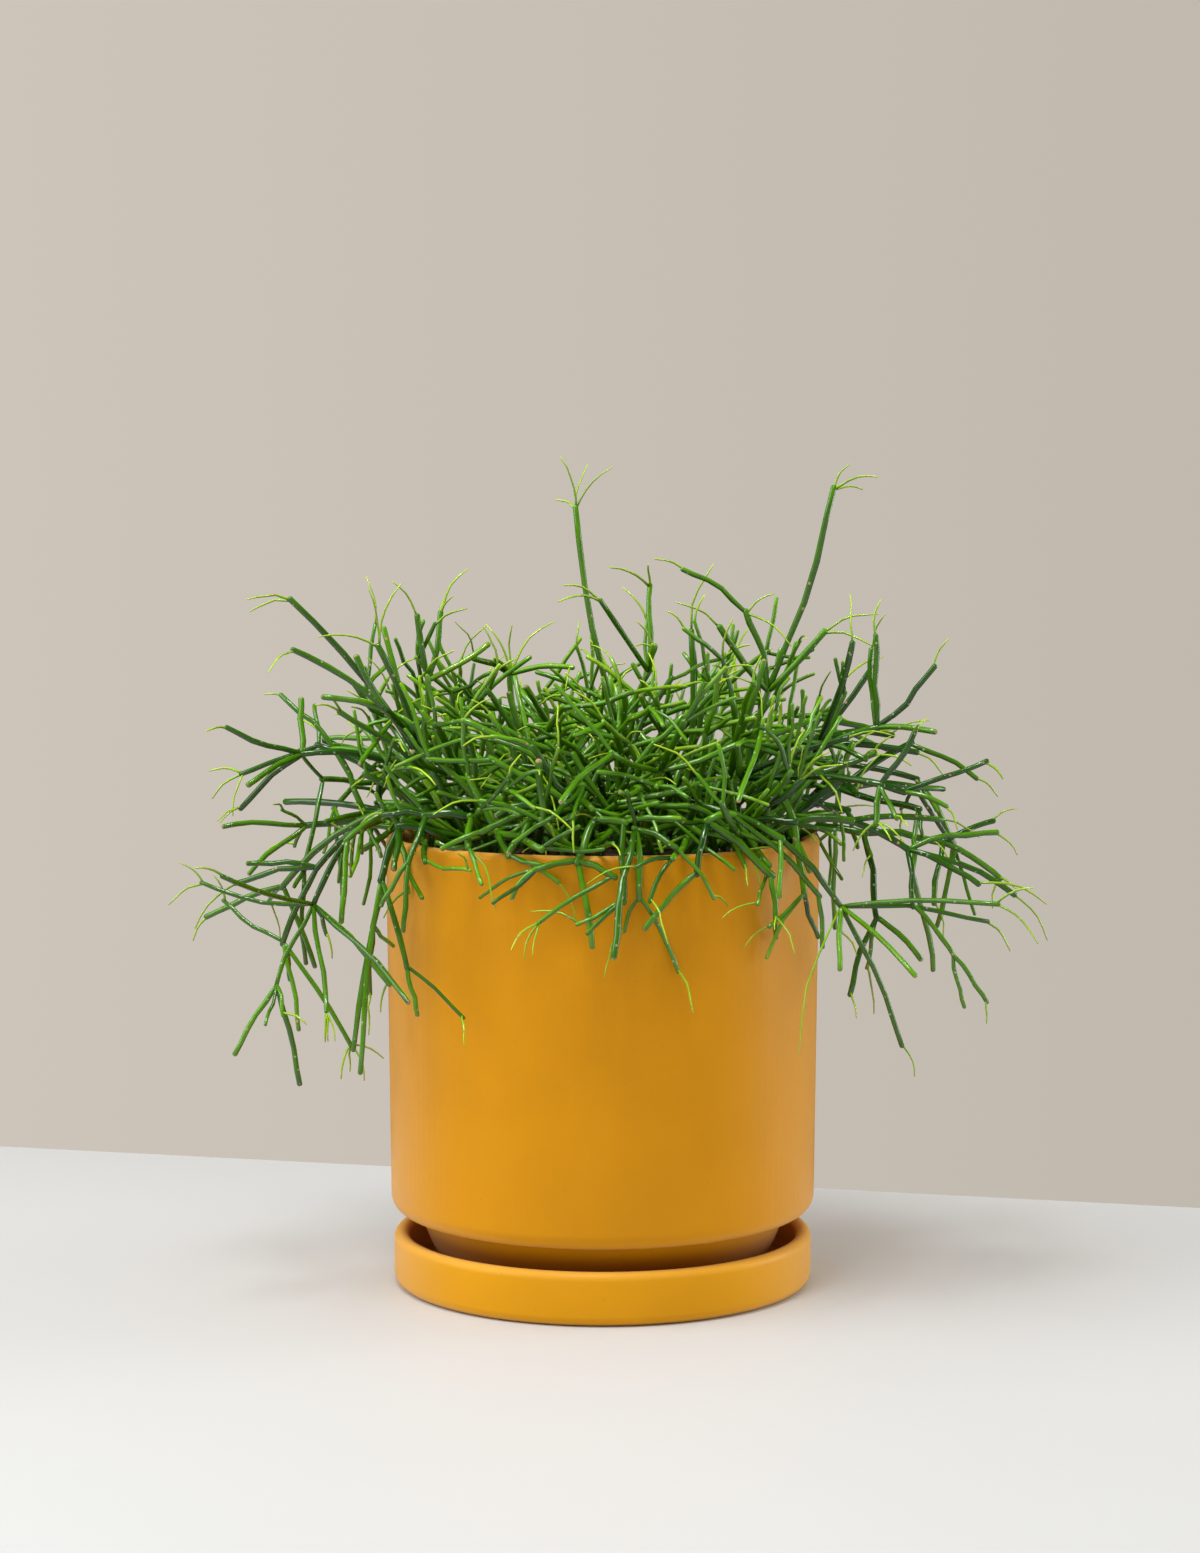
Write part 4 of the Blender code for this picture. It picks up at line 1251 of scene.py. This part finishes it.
def table_material():
    settings = bpy.context.scene.cactus_stage
    made, tree, shader = new_material("matte_table_top")
    place = coordinates(tree)
    shade = ramp(tree, noise(tree, place, scale=3.0), 0.3, 0.7, 0.985, 1.015)
    fill_sockets(tree, shader, {
        "Base Color": tinted(tree, opaque(settings.table_colour), shade),
        "Roughness": 0.6,
        "Normal": shape_normal(tree, noise(tree, place, scale=700.0), TABLE_RELIEF),
    })
    return made


def arc(centre_x, centre_z, radius, first, last, count):
    """Points of a round stretch of a profile, between two angles in degrees."""
    angles = [math.radians(first + (last - first) * step / count) for step in range(count + 1)]
    return [(centre_x + radius * math.cos(turn), centre_z + radius * math.sin(turn)) for turn in angles]


def saucer_profile():
    lip = SAUCER_WALL / 2.0
    inner = SAUCER_RADIUS - SAUCER_WALL
    rounding = SAUCER_INNER_ROUNDING
    foot = SAUCER_FOOT_ROUNDING
    return [
        (0.0, SAUCER_FLOOR),
        (0.5 * inner, SAUCER_FLOOR),
        *arc(inner - rounding, SAUCER_FLOOR + rounding, rounding, -90.0, 0.0, 6),
        *arc(SAUCER_RADIUS - lip, SAUCER_HEIGHT - lip, lip, 180.0, 0.0, 12),
        *arc(SAUCER_RADIUS - foot, foot, foot, 0.0, -90.0, 7),
        (0.5 * SAUCER_RADIUS, 0.0),
        (0.0, 0.0),
    ]


def foot_radius(z):
    """The bowl-shaped foot's radius at height z."""
    part = (z - POT_BASE) / (POT_BODY_BOTTOM - POT_BASE)
    return FOOT_BASE_RADIUS + (FOOT_TOP_RADIUS - FOOT_BASE_RADIUS) * part**FOOT_BULGE


def inner_profile(shrink, parts):
    """The pot's inside from its floor up to under its rim, moved inwards by shrink."""
    floor = POT_BASE + POT_FLOOR + shrink
    points = []
    for part in parts:
        z = floor + (POT_BODY_BOTTOM - floor) * part
        points.append((foot_radius(z - shrink) - FOOT_WALL - shrink, z))
    points.append((POT_BOTTOM_RADIUS - POT_WALL - shrink, POT_BODY_BOTTOM + 2.0 * POT_WALL))
    points.append((POT_RIM_RADIUS - POT_WALL - shrink, POT_TOP - POT_WALL / 2.0))
    return points


def pot_profile():
    """A closed section: over the rim, down the outside, in under the foot, up the drain and up the inside."""
    lip = POT_WALL / 2.0
    corner = POT_CORNER_ROUNDING
    low = POT_BODY_BOTTOM
    rim = arc(POT_RIM_RADIUS - lip, POT_TOP - lip, lip, 180.0, 0.0, 12)
    wall = []
    for part in (0.25, 0.5, 0.75):
        wall.append((POT_RIM_RADIUS + (POT_BOTTOM_RADIUS - POT_RIM_RADIUS) * part,
                     POT_TOP - lip + (low + corner - POT_TOP + lip) * part))
    body = arc(POT_BOTTOM_RADIUS - corner, low + corner, corner, 0.0, -90.0, 10)
    foot = []
    for part in (1.0, 0.85, 0.7, 0.55, 0.4, 0.28, 0.18, 0.1, 0.04, 0.0):
        z = POT_BASE + (low - POT_BASE) * part
        foot.append((foot_radius(z), z))
    drain = [(DRAIN_RADIUS, POT_BASE), (DRAIN_RADIUS, POT_BASE + POT_FLOOR)]
    inside = inner_profile(0.0, (0.0, 0.1, 0.25, 0.45, 0.7, 1.0))[:-1]
    return rim + wall + body + foot + drain + inside


def turned_piece(profile, closed):
    """Draw a profile point by point and spin it round the Z axis."""
    deselect_all()
    bpy.ops.mesh.primitive_plane_add(size=1.0 * MM, location=(0.0, 0.0, 0.0))
    made = bpy.context.object
    bpy.ops.object.mode_set(mode="EDIT")
    bpy.ops.mesh.merge(type="CENTER")
    place = (0.0, 0.0)
    for index, point in enumerate(profile):
        move = (point[0] - place[0], 0.0, point[1] - place[1])
        if index == 0:
            bpy.ops.transform.translate(value=move)
        else:
            bpy.ops.mesh.extrude_region_move(TRANSFORM_OT_translate={"value": move})
        place = point
    bpy.ops.mesh.select_all(action="SELECT")
    if closed:
        bpy.ops.object.mode_set(mode="OBJECT")
        ends = (0, len(made.data.vertices) - 1)
        select_vertices(made, lambda vertex: vertex.index in ends)
        bpy.ops.mesh.edge_face_add()
        bpy.ops.mesh.select_all(action="SELECT")
    bpy.ops.mesh.spin(
        steps=bpy.context.scene.cactus_pot.turned_steps, angle=2.0 * math.pi,
        center=(0.0, 0.0, 0.0), axis=(0.0, 0.0, 1.0),
    )
    bpy.ops.mesh.select_all(action="SELECT")
    bpy.ops.mesh.remove_doubles(threshold=0.01 * MM)
    face_outwards()
    bpy.ops.object.mode_set(mode="OBJECT")
    bpy.ops.object.shade_smooth_by_angle(angle=math.radians(38.0))
    return made


def joint_shape(name, sides, rings, look_index):
    """A straight joint of unit length and radius, extruded ring by ring from a disc, with its attributes."""
    deselect_all()
    low, size = rings[0]
    bpy.ops.mesh.primitive_circle_add(
        vertices=sides, radius=size, fill_type="NGON", location=(0.0, 0.0, low))
    made = bpy.context.object
    made.name = name
    bpy.ops.object.transform_apply(location=True, rotation=True, scale=True)
    bpy.ops.object.mode_set(mode="EDIT")
    extrude_rings(rings)
    face_outwards()
    bpy.ops.mesh.faces_shade_smooth()
    bpy.ops.object.mode_set(mode="OBJECT")
    mesh = made.data
    layer = mesh.uv_layers[0] if mesh.uv_layers else mesh.uv_layers.new()
    layer.name = "Along"
    for face in mesh.polygons:
        face.material_index = look_index
        turns = []
        for loop in face.loop_indices:
            place = mesh.vertices[mesh.loops[loop].vertex_index].co
            turns.append(math.atan2(place.y, place.x) / (2.0 * math.pi) % 1.0)
        wraps = max(turns) - min(turns) > 0.5
        for loop, turn in zip(face.loop_indices, turns):
            place = mesh.vertices[mesh.loops[loop].vertex_index].co
            layer.data[loop].uv = (turn + 1.0 if wraps and turn < 0.5 else turn, place.z)
    mesh.attributes.new("youth", "FLOAT", "POINT")
    mesh.attributes.new("tip", "FLOAT", "POINT")
    return made


def bent_copy(shape, branch, radius, youth, tan, draw):
    """A copy of the straight joint, laid along a joint's arc, with a slight wobble of its own."""
    made = own_copy(shape)
    mesh = made.data
    count = len(mesh.vertices)
    places = np.empty(count * 3)
    mesh.vertices.foreach_get("co", places)
    places = places.reshape(-1, 3)
    part = np.clip(places[:, 2], 0.0, 1.0)[:, None]
    past = (places[:, 2] - part[:, 0])[:, None] * radius
    start, middle, tip = (np.array(point) for point in (branch.start, branch.middle, branch.tip))
    line = (1.0 - part) ** 2 * start + 2.0 * (1.0 - part) * part * middle + part**2 * tip
    along = 2.0 * (1.0 - part) * (middle - start) + 2.0 * part * (tip - middle)
    length = np.linalg.norm(tip - start)
    along /= np.linalg.norm(along, axis=1)[:, None]
    side = np.cross(middle - start, tip - middle)
    if np.linalg.norm(side) < 1e-9:
        side = np.cross(tip - start, (0.31, 0.52, 0.79))
    side /= np.linalg.norm(side)
    over = np.cross(side, along)
    wave = min(WOBBLE_SHARE * length, WOBBLE_MOST)
    phase = draw.uniform(0.0, 2.0 * math.pi)
    sway = wave * np.sin(part * math.pi) * np.sin(part * 2.0 * math.pi * draw.uniform(0.6, 1.5) + phase)
    swell = radius * (1.0 + min(0.045 * radius / MM, 0.07) * np.sin(part * draw.uniform(9.0, 16.0) + phase))
    across = places[:, 0:1] * swell + sway
    upward = places[:, 1:2] * swell + math.sin(phase) * sway
    placed = line + along * past + side * across + over * upward
    mesh.vertices.foreach_set("co", placed.ravel())
    layer = mesh.uv_layers["Along"].data
    flat = np.empty(len(layer) * 2)
    layer.foreach_get("uv", flat)
    flat[1::2] = flat[1::2] * length / (6.0 * radius) + draw.uniform(0.0, 40.0)
    layer.foreach_set("uv", flat)
    share = part[:, 0]
    mesh.attributes["youth"].data.foreach_set("value", youth[0] + (youth[1] - youth[0]) * share**1.5)
    mesh.attributes["tip"].data.foreach_set("value", tan * (places[:, 2] > BLUNT_START))
    return made


def joint_look(branch, level, draw):
    """A joint's real radius, how young it is at both ends, which deep in the heart is lowered to paint shade,
    and how tan its tip is.
    """
    if branch.young:
        return draw.uniform(*THREAD_RADII) * MM, (draw.uniform(*SHOOT_YOUTH), 1.0), 0.0
    ends = not branch.branches
    out = math.hypot(branch.tip.x, branch.tip.y)
    outer = min(max((out - OUTER_START) / OUTER_DEPTH, 0.0), 1.0)
    if branch.radius < JOINT_RADII[-1]:
        youth = draw.uniform(*TWIG_YOUTH) - TWIG_OUTER_AGE * outer
        return draw.uniform(*TWIG_RADII) * MM, (youth - 0.1, youth + 0.08), 0.0
    depth = min(max((INNER_TOP - branch.tip.z) / INNER_DEPTH, 0.0), 1.0)
    inner = max(0.0, 1.0 - out / INNER_REACH) * depth
    low = out < HEART_REACH and HEART_LOW < branch.tip.z < STUBBY_TOP
    radius = branch.radius * draw.uniform(*STUBBY_SWELL if low else GROWN_SWELL)
    youth = draw.uniform(*GROWN_YOUTH) + YOUTH_PER_JOINT * min(level, 3) + END_YOUTH * ends
    # Deep in the heart the joint is made older and darker: partly age, partly painted shade.
    youth = youth - INNER_AGE_AND_SHADE * inner - OUTER_AGE * outer
    return radius, (youth, youth + 0.06), draw.uniform(*TIP_TAN) * ends


def build_stem(x, y, first, shapes, draw):
    """One rooted stem: its foot in the potting mix, and all its joints, joined to one piece."""
    foot_line = root_route(x, y)
    foot = Branch(foot_line[1], 0.0, [first])
    foot.start, foot.middle = foot_line[0], (foot_line[0] + foot_line[1]) / 2.0
    foot.tip = foot_line[1] + Vector((0.0, 0.0, 0.8 * MM))
    made = [bent_copy(shapes["grown"], foot, FOOT_RADIUS, (0.0, 0.05), 0.0, draw)]
    for branch, level in walk(first):
        radius, youth, tan = joint_look(branch, level, draw)
        shape = shapes["young"] if branch.young else shapes["grown"]
        if branch.young and branch.bow == 0.0:
            branch.bow = HAIR_ARCH * (branch.tip - branch.start).length
            branch.aim(branch.start, branch.tip)
        made.append(bent_copy(shape, branch, radius, youth, tan, draw))
    return join_pieces(made)


def build_stems(stems, replaced):
    """Build rooted stems, each in place of the solid of its name where there is one."""
    shapes = {
        "grown": joint_shape("grown_joint", GROWN_SIDES, GROWN_RINGS, 0),
        "young": joint_shape("young_joint", YOUNG_SIDES, YOUNG_RINGS, 1),
    }
    for name, (x, y, first) in stems.items():
        draw = random.Random(name)
        made = build_stem(x, y, first, shapes, draw)
        if replaced:
            finish_piece(made, "green_" + name, skin_materials(), [name])
        else:
            finish_piece(made, name, skin_materials())
    for shape in shapes.values():
        bpy.data.objects.remove(shape)


def planned():
    settings = bpy.context.scene.cactus_stems
    return plant_plan(settings.heart_roots, settings.twig_seed)


def soil_disc():
    """A disc in rings, with the slope of the potting mix."""
    deselect_all()
    bpy.ops.mesh.primitive_circle_add(
        vertices=SOIL_SIDES, radius=SOIL_RADIUS, fill_type="NGON", location=(0.0, 0.0, SOIL_EDGE))
    made = bpy.context.object
    bpy.ops.object.transform_apply(location=True, rotation=True, scale=True)
    bpy.ops.object.mode_set(mode="EDIT")
    for _ in range(SOIL_RINGS):
        bpy.ops.mesh.inset(thickness=SOIL_RADIUS / (SOIL_RINGS + 0.5), use_even_offset=False)
    bpy.ops.object.mode_set(mode="OBJECT")
    for vertex in made.data.vertices:
        out = math.hypot(vertex.co.x, vertex.co.y) / SOIL_RADIUS
        vertex.co.z = SOIL_MIDDLE + (SOIL_EDGE - SOIL_MIDDLE) * out
    return made


def raise_lumps(made, height):
    """Raise lumps on the disc, but not at its edge, which meets the pot."""
    held = made.vertex_groups.new(name="lumps")
    inner = [v.index for v in made.data.vertices if math.hypot(v.co.x, v.co.y) < LUMP_REACH]
    held.add(inner, 1.0, "REPLACE")
    clouds = bpy.data.textures.new("lumps", "CLOUDS")
    clouds.noise_scale = LUMP_SIZE
    clouds.noise_depth = LUMP_DEPTH
    lumps = made.modifiers.new("Lumps", "DISPLACE")
    lumps.texture = clouds
    lumps.texture_coords = "LOCAL"
    lumps.direction = "Z"
    lumps.vertex_group = "lumps"
    lumps.strength = height
    lumps.mid_level = LUMP_LEVEL
    bpy.ops.object.modifier_apply(modifier=lumps.name)


def fill_down(made):
    """Extrude the disc's edge down along the pot's inside and close it on the floor."""
    bpy.ops.object.mode_set(mode="EDIT")
    face_outwards()
    bpy.ops.object.mode_set(mode="OBJECT")
    select_vertices(made, lambda vertex: math.hypot(vertex.co.x, vertex.co.y) > 0.995 * SOIL_RADIUS)
    side = inner_profile(CLEARANCE, (0.0, 0.1, 0.35, 1.0))[:-1]
    extrude_rings([(SOIL_EDGE, SOIL_RADIUS), *((height, out) for out, height in reversed(side))])
    bpy.ops.mesh.edge_face_add()
    face_outwards()
    bpy.ops.object.mode_set(mode="OBJECT")
    bpy.ops.object.shade_smooth_by_angle(angle=math.radians(50.0))


def crumb_shape():
    """A rough lump of bark, cut flat above and below."""
    deselect_all()
    bpy.ops.mesh.primitive_ico_sphere_add(subdivisions=1, radius=1.0, location=(0.0, 0.0, 0.0))
    bpy.ops.object.mode_set(mode="EDIT")
    for place, normal in CRUMB_CUTS:
        bpy.ops.mesh.select_all(action="SELECT")
        bpy.ops.mesh.bisect(plane_co=place, plane_no=normal, use_fill=True, clear_outer=True)
    face_outwards()
    bpy.ops.object.mode_set(mode="OBJECT")
    return bpy.context.object


def scatter_crumbs(shape, count):
    """Copies of a crumb on the potting mix, clear of every rooted stem."""
    draw = random.Random(CRUMB_SEED)
    roots = [(x, y) for stems in planned() for x, y, _ in stems.values()]
    made = []
    for _ in range(count):
        out = (SOIL_RADIUS - CRUMB_MARGIN) * math.sqrt(draw.random())
        turn = draw.uniform(0.0, 2.0 * math.pi)
        x, y = out * math.cos(turn), out * math.sin(turn)
        size = draw.uniform(*CRUMB_SIZES) * MM
        if any(math.hypot(x - root_x, y - root_y) < size + CRUMB_GAP for root_x, root_y in roots):
            continue
        crumb = own_copy(shape)
        crumb.location = (x, y, soil_top(x, y) + CRUMB_SINK * size)
        tilts = [draw.uniform(-CRUMB_TILT, CRUMB_TILT) for _ in range(2)]
        crumb.rotation_euler = (*tilts, draw.uniform(0.0, 6.3))
        crumb.scale = (size * draw.uniform(0.8, 1.5), size * draw.uniform(0.5, 0.9), size * 0.8)
        made.append(crumb)
    return made


class CACTUS_OT_saucer(bpy.types.Operator):
    """Turn the saucer"""

    bl_idname = "cactus.saucer"
    bl_label = "Saucer"

    def execute(self, context):
        made = turned_piece(saucer_profile(), False)
        # The saucer's glaze is painted lighter than the pot's, standing in for light from the table.
        look = glaze_material(
            "saucer_glaze", context.scene.cactus_pot.saucer_glaze_painted_lighter_colour, SAUCER_HEIGHT, SAUCER_THIN_AND_HIGHLIGHT_WIDTH,
            # No painted shade by height on the saucer; painted shade in brown inside its wall.
            0.0, SAUCER_RADIUS - SAUCER_WALL + SHADE_MARGIN)
        finish_piece(made, "glazed_saucer", [look], ["saucer"])
        return {"FINISHED"}


class CACTUS_OT_pot(bpy.types.Operator):
    """Turn the pot"""

    bl_idname = "cactus.pot"
    bl_label = "Pot"

    def execute(self, context):
        made = turned_piece(pot_profile(), True)
        look = glaze_material(
            "pot_glaze", context.scene.cactus_pot.glaze_colour, POT_TOP, POT_THIN_AND_HIGHLIGHT_WIDTH,
            # Painted shade in brown on the foot, below the body's bottom.
            POT_BODY_BOTTOM + SHADE_MARGIN, 0.0)
        finish_piece(made, "glazed_pot", [look], ["pot"])
        return {"FINISHED"}


class CACTUS_OT_potting_mix(bpy.types.Operator):
    """Fill the pot with lumpy potting mix"""

    bl_idname = "cactus.potting_mix"
    bl_label = "Potting mix"

    def execute(self, context):
        settings = context.scene.cactus_soil
        made = soil_disc()
        raise_lumps(made, settings.lump_height)
        fill_down(made)
        look = earth_material(
            "moist_mix", settings.soil_colour, settings.bark_colour, MIX_GRAIN, MIX_RELIEF)
        finish_piece(made, "lumpy_potting_mix", [look], ["potting_mix"])
        return {"FINISHED"}


class CACTUS_OT_bark_crumbs(bpy.types.Operator):
    """Scatter bark crumbs on the potting mix"""

    bl_idname = "cactus.bark_crumbs"
    bl_label = "Bark crumbs"

    def execute(self, context):
        settings = context.scene.cactus_soil
        shape = crumb_shape()
        crumbs = scatter_crumbs(shape, settings.crumb_count)
        bpy.data.objects.remove(shape)
        made = join_pieces(crumbs)
        bpy.ops.object.transform_apply(location=True, rotation=True, scale=True)
        look = earth_material(
            "bark", settings.soil_colour, settings.bark_colour, BARK_GRAIN, BARK_RELIEF)
        finish_piece(made, "bark_crumbs", [look])
        return {"FINISHED"}


class CACTUS_OT_stems(bpy.types.Operator):
    """Grow the rooted stems that have a solid, with their fine joints"""

    bl_idname = "cactus.stems"
    bl_label = "Rooted stems"

    def execute(self, context):
        build_stems(planned()[0], True)
        return {"FINISHED"}


class CACTUS_OT_heart_stems(bpy.types.Operator):
    """Grow the extra rooted stems in the heart of the plant"""

    bl_idname = "cactus.heart_stems"
    bl_label = "Heart stems"

    def execute(self, context):
        build_stems(planned()[1], False)
        return {"FINISHED"}


def add_table_top():
    """A slab with rounded edges, whose back edge runs askew."""
    deselect_all()
    bpy.ops.mesh.primitive_plane_add(size=TABLE_SIZE, location=(0.0, TABLE_BACK - TABLE_SIZE / 2.0, 0.0))
    made = bpy.context.object
    bpy.ops.object.transform_apply(location=True, rotation=True, scale=True)
    for vertex in made.data.vertices:
        if vertex.co.y > 0.0:
            vertex.co.y = TABLE_BACK - TABLE_SLANT * vertex.co.x
    bpy.ops.object.mode_set(mode="EDIT")
    bpy.ops.mesh.select_all(action="SELECT")
    bpy.ops.mesh.extrude_region_move(TRANSFORM_OT_translate={"value": (0.0, 0.0, -TABLE_THICKNESS)})
    face_outwards()
    bpy.ops.mesh.bevel(offset=TABLE_ROUNDING, segments=3, affect="EDGES")
    bpy.ops.object.mode_set(mode="OBJECT")
    bpy.ops.object.shade_smooth_by_angle(angle=math.radians(40.0))
    made.name = "table_top"
    made.data.materials.append(table_material())
    return made


def add_surroundings(settings):
    """Plain surroundings, paler on the left, which light the plant but hardly show in its reflections."""
    world = bpy.data.worlds.new("surroundings")
    world.use_nodes = True
    bpy.context.scene.world = world
    tree = world.node_tree
    tree.nodes.clear()
    across = ramp(tree, separate(tree, coordinates(tree, "Generated"))["X"], -0.18, 0.18)
    colour = blend_colours(tree, across, opaque(settings.left_colour), opaque(settings.right_colour))
    path = add_node(tree, "ShaderNodeLightPath").outputs
    strength = ramp(tree, path["Is Glossy Ray"], 0.0, 1.0, 1.25, 0.12)
    strength = ramp(tree, path["Is Camera Ray"], 0.0, 1.0, strength, 1.0)
    backdrop = add_node(tree, "ShaderNodeBackground", {"Color": colour, "Strength": strength})
    add_node(tree, "ShaderNodeOutputWorld", {"Surface": backdrop.outputs[0]})


def add_area_light(name, place, aim, size, power):
    """A soft light at a place, turned towards a point."""
    turn = (Vector(aim) - Vector(place)).to_track_quat("-Z", "Y").to_euler()
    bpy.ops.object.light_add(type="AREA", location=place, rotation=turn)
    made = bpy.context.object
    made.name = name
    made.data.shape = "RECTANGLE"
    made.data.size, made.data.size_y = size
    made.data.energy = power
    made.data.color = LIGHT_COLOUR


def add_camera():
    bpy.ops.object.camera_add(location=CAMERA_PLACE, rotation=(math.radians(90.0 - CAMERA_TILT), 0.0, 0.0))
    camera = bpy.context.object
    camera.data.sensor_width = 36.0
    camera.data.lens = CAMERA_LENS
    camera.data.clip_end = 20.0
    bpy.context.scene.camera = camera


class CACTUS_OT_stage(bpy.types.Operator):
    """Set up the table top, the surroundings, the lights and the camera"""

    bl_idname = "cactus.stage"
    bl_label = "Stage"

    def execute(self, context):
        settings = context.scene.cactus_stage
        made = add_table_top()
        add_surroundings(settings)
        for name, (place, aim, size) in LIGHTS.items():
            add_area_light(name, place, aim, size, getattr(settings, name + "_power"))
        add_camera()
        context.scene.view_settings.view_transform = "Standard"
        return {"FINISHED"}


class CACTUS_PT_panel(bpy.types.Panel):
    """Lists the pieces of the plant"""

    bl_idname = "CACTUS_PT_panel"
    bl_label = "Mistletoe cactus"
    bl_space_type = "VIEW_3D"
    bl_region_type = "UI"
    bl_category = "Cactus"

    def draw(self, context):
        for operator in OPERATORS:
            self.layout.operator(operator.bl_idname)
        for settings, _ in SETTINGS:
            box = self.layout.box()
            for key in getattr(context.scene, settings).__annotations__:
                box.prop(getattr(context.scene, settings), key)


SETTINGS = [
    ("cactus_pot", PotSettings),
    ("cactus_soil", SoilSettings),
    ("cactus_stems", StemSettings),
    ("cactus_stage", StageSettings),
]
OPERATORS = [
    CACTUS_OT_saucer, CACTUS_OT_pot, CACTUS_OT_potting_mix, CACTUS_OT_bark_crumbs, CACTUS_OT_stems,
    CACTUS_OT_heart_stems, CACTUS_OT_stage,
]


def register():
    for name, group in SETTINGS:
        bpy.utils.register_class(group)
        setattr(bpy.types.Scene, name, PointerProperty(type=group))
    for operator in OPERATORS:
        bpy.utils.register_class(operator)
    bpy.utils.register_class(CACTUS_PT_panel)


def unregister():
    bpy.utils.unregister_class(CACTUS_PT_panel)
    for operator in reversed(OPERATORS):
        bpy.utils.unregister_class(operator)
    for name, group in reversed(SETTINGS):
        delattr(bpy.types.Scene, name)
        bpy.utils.unregister_class(group)


def main():
    register()
    bpy.ops.cactus.saucer()
    bpy.ops.cactus.pot()
    bpy.ops.cactus.potting_mix()
    bpy.ops.cactus.bark_crumbs()
    bpy.ops.cactus.stems()
    bpy.ops.cactus.heart_stems()
    bpy.ops.cactus.stage()


if __name__ == "__main__":
    main()
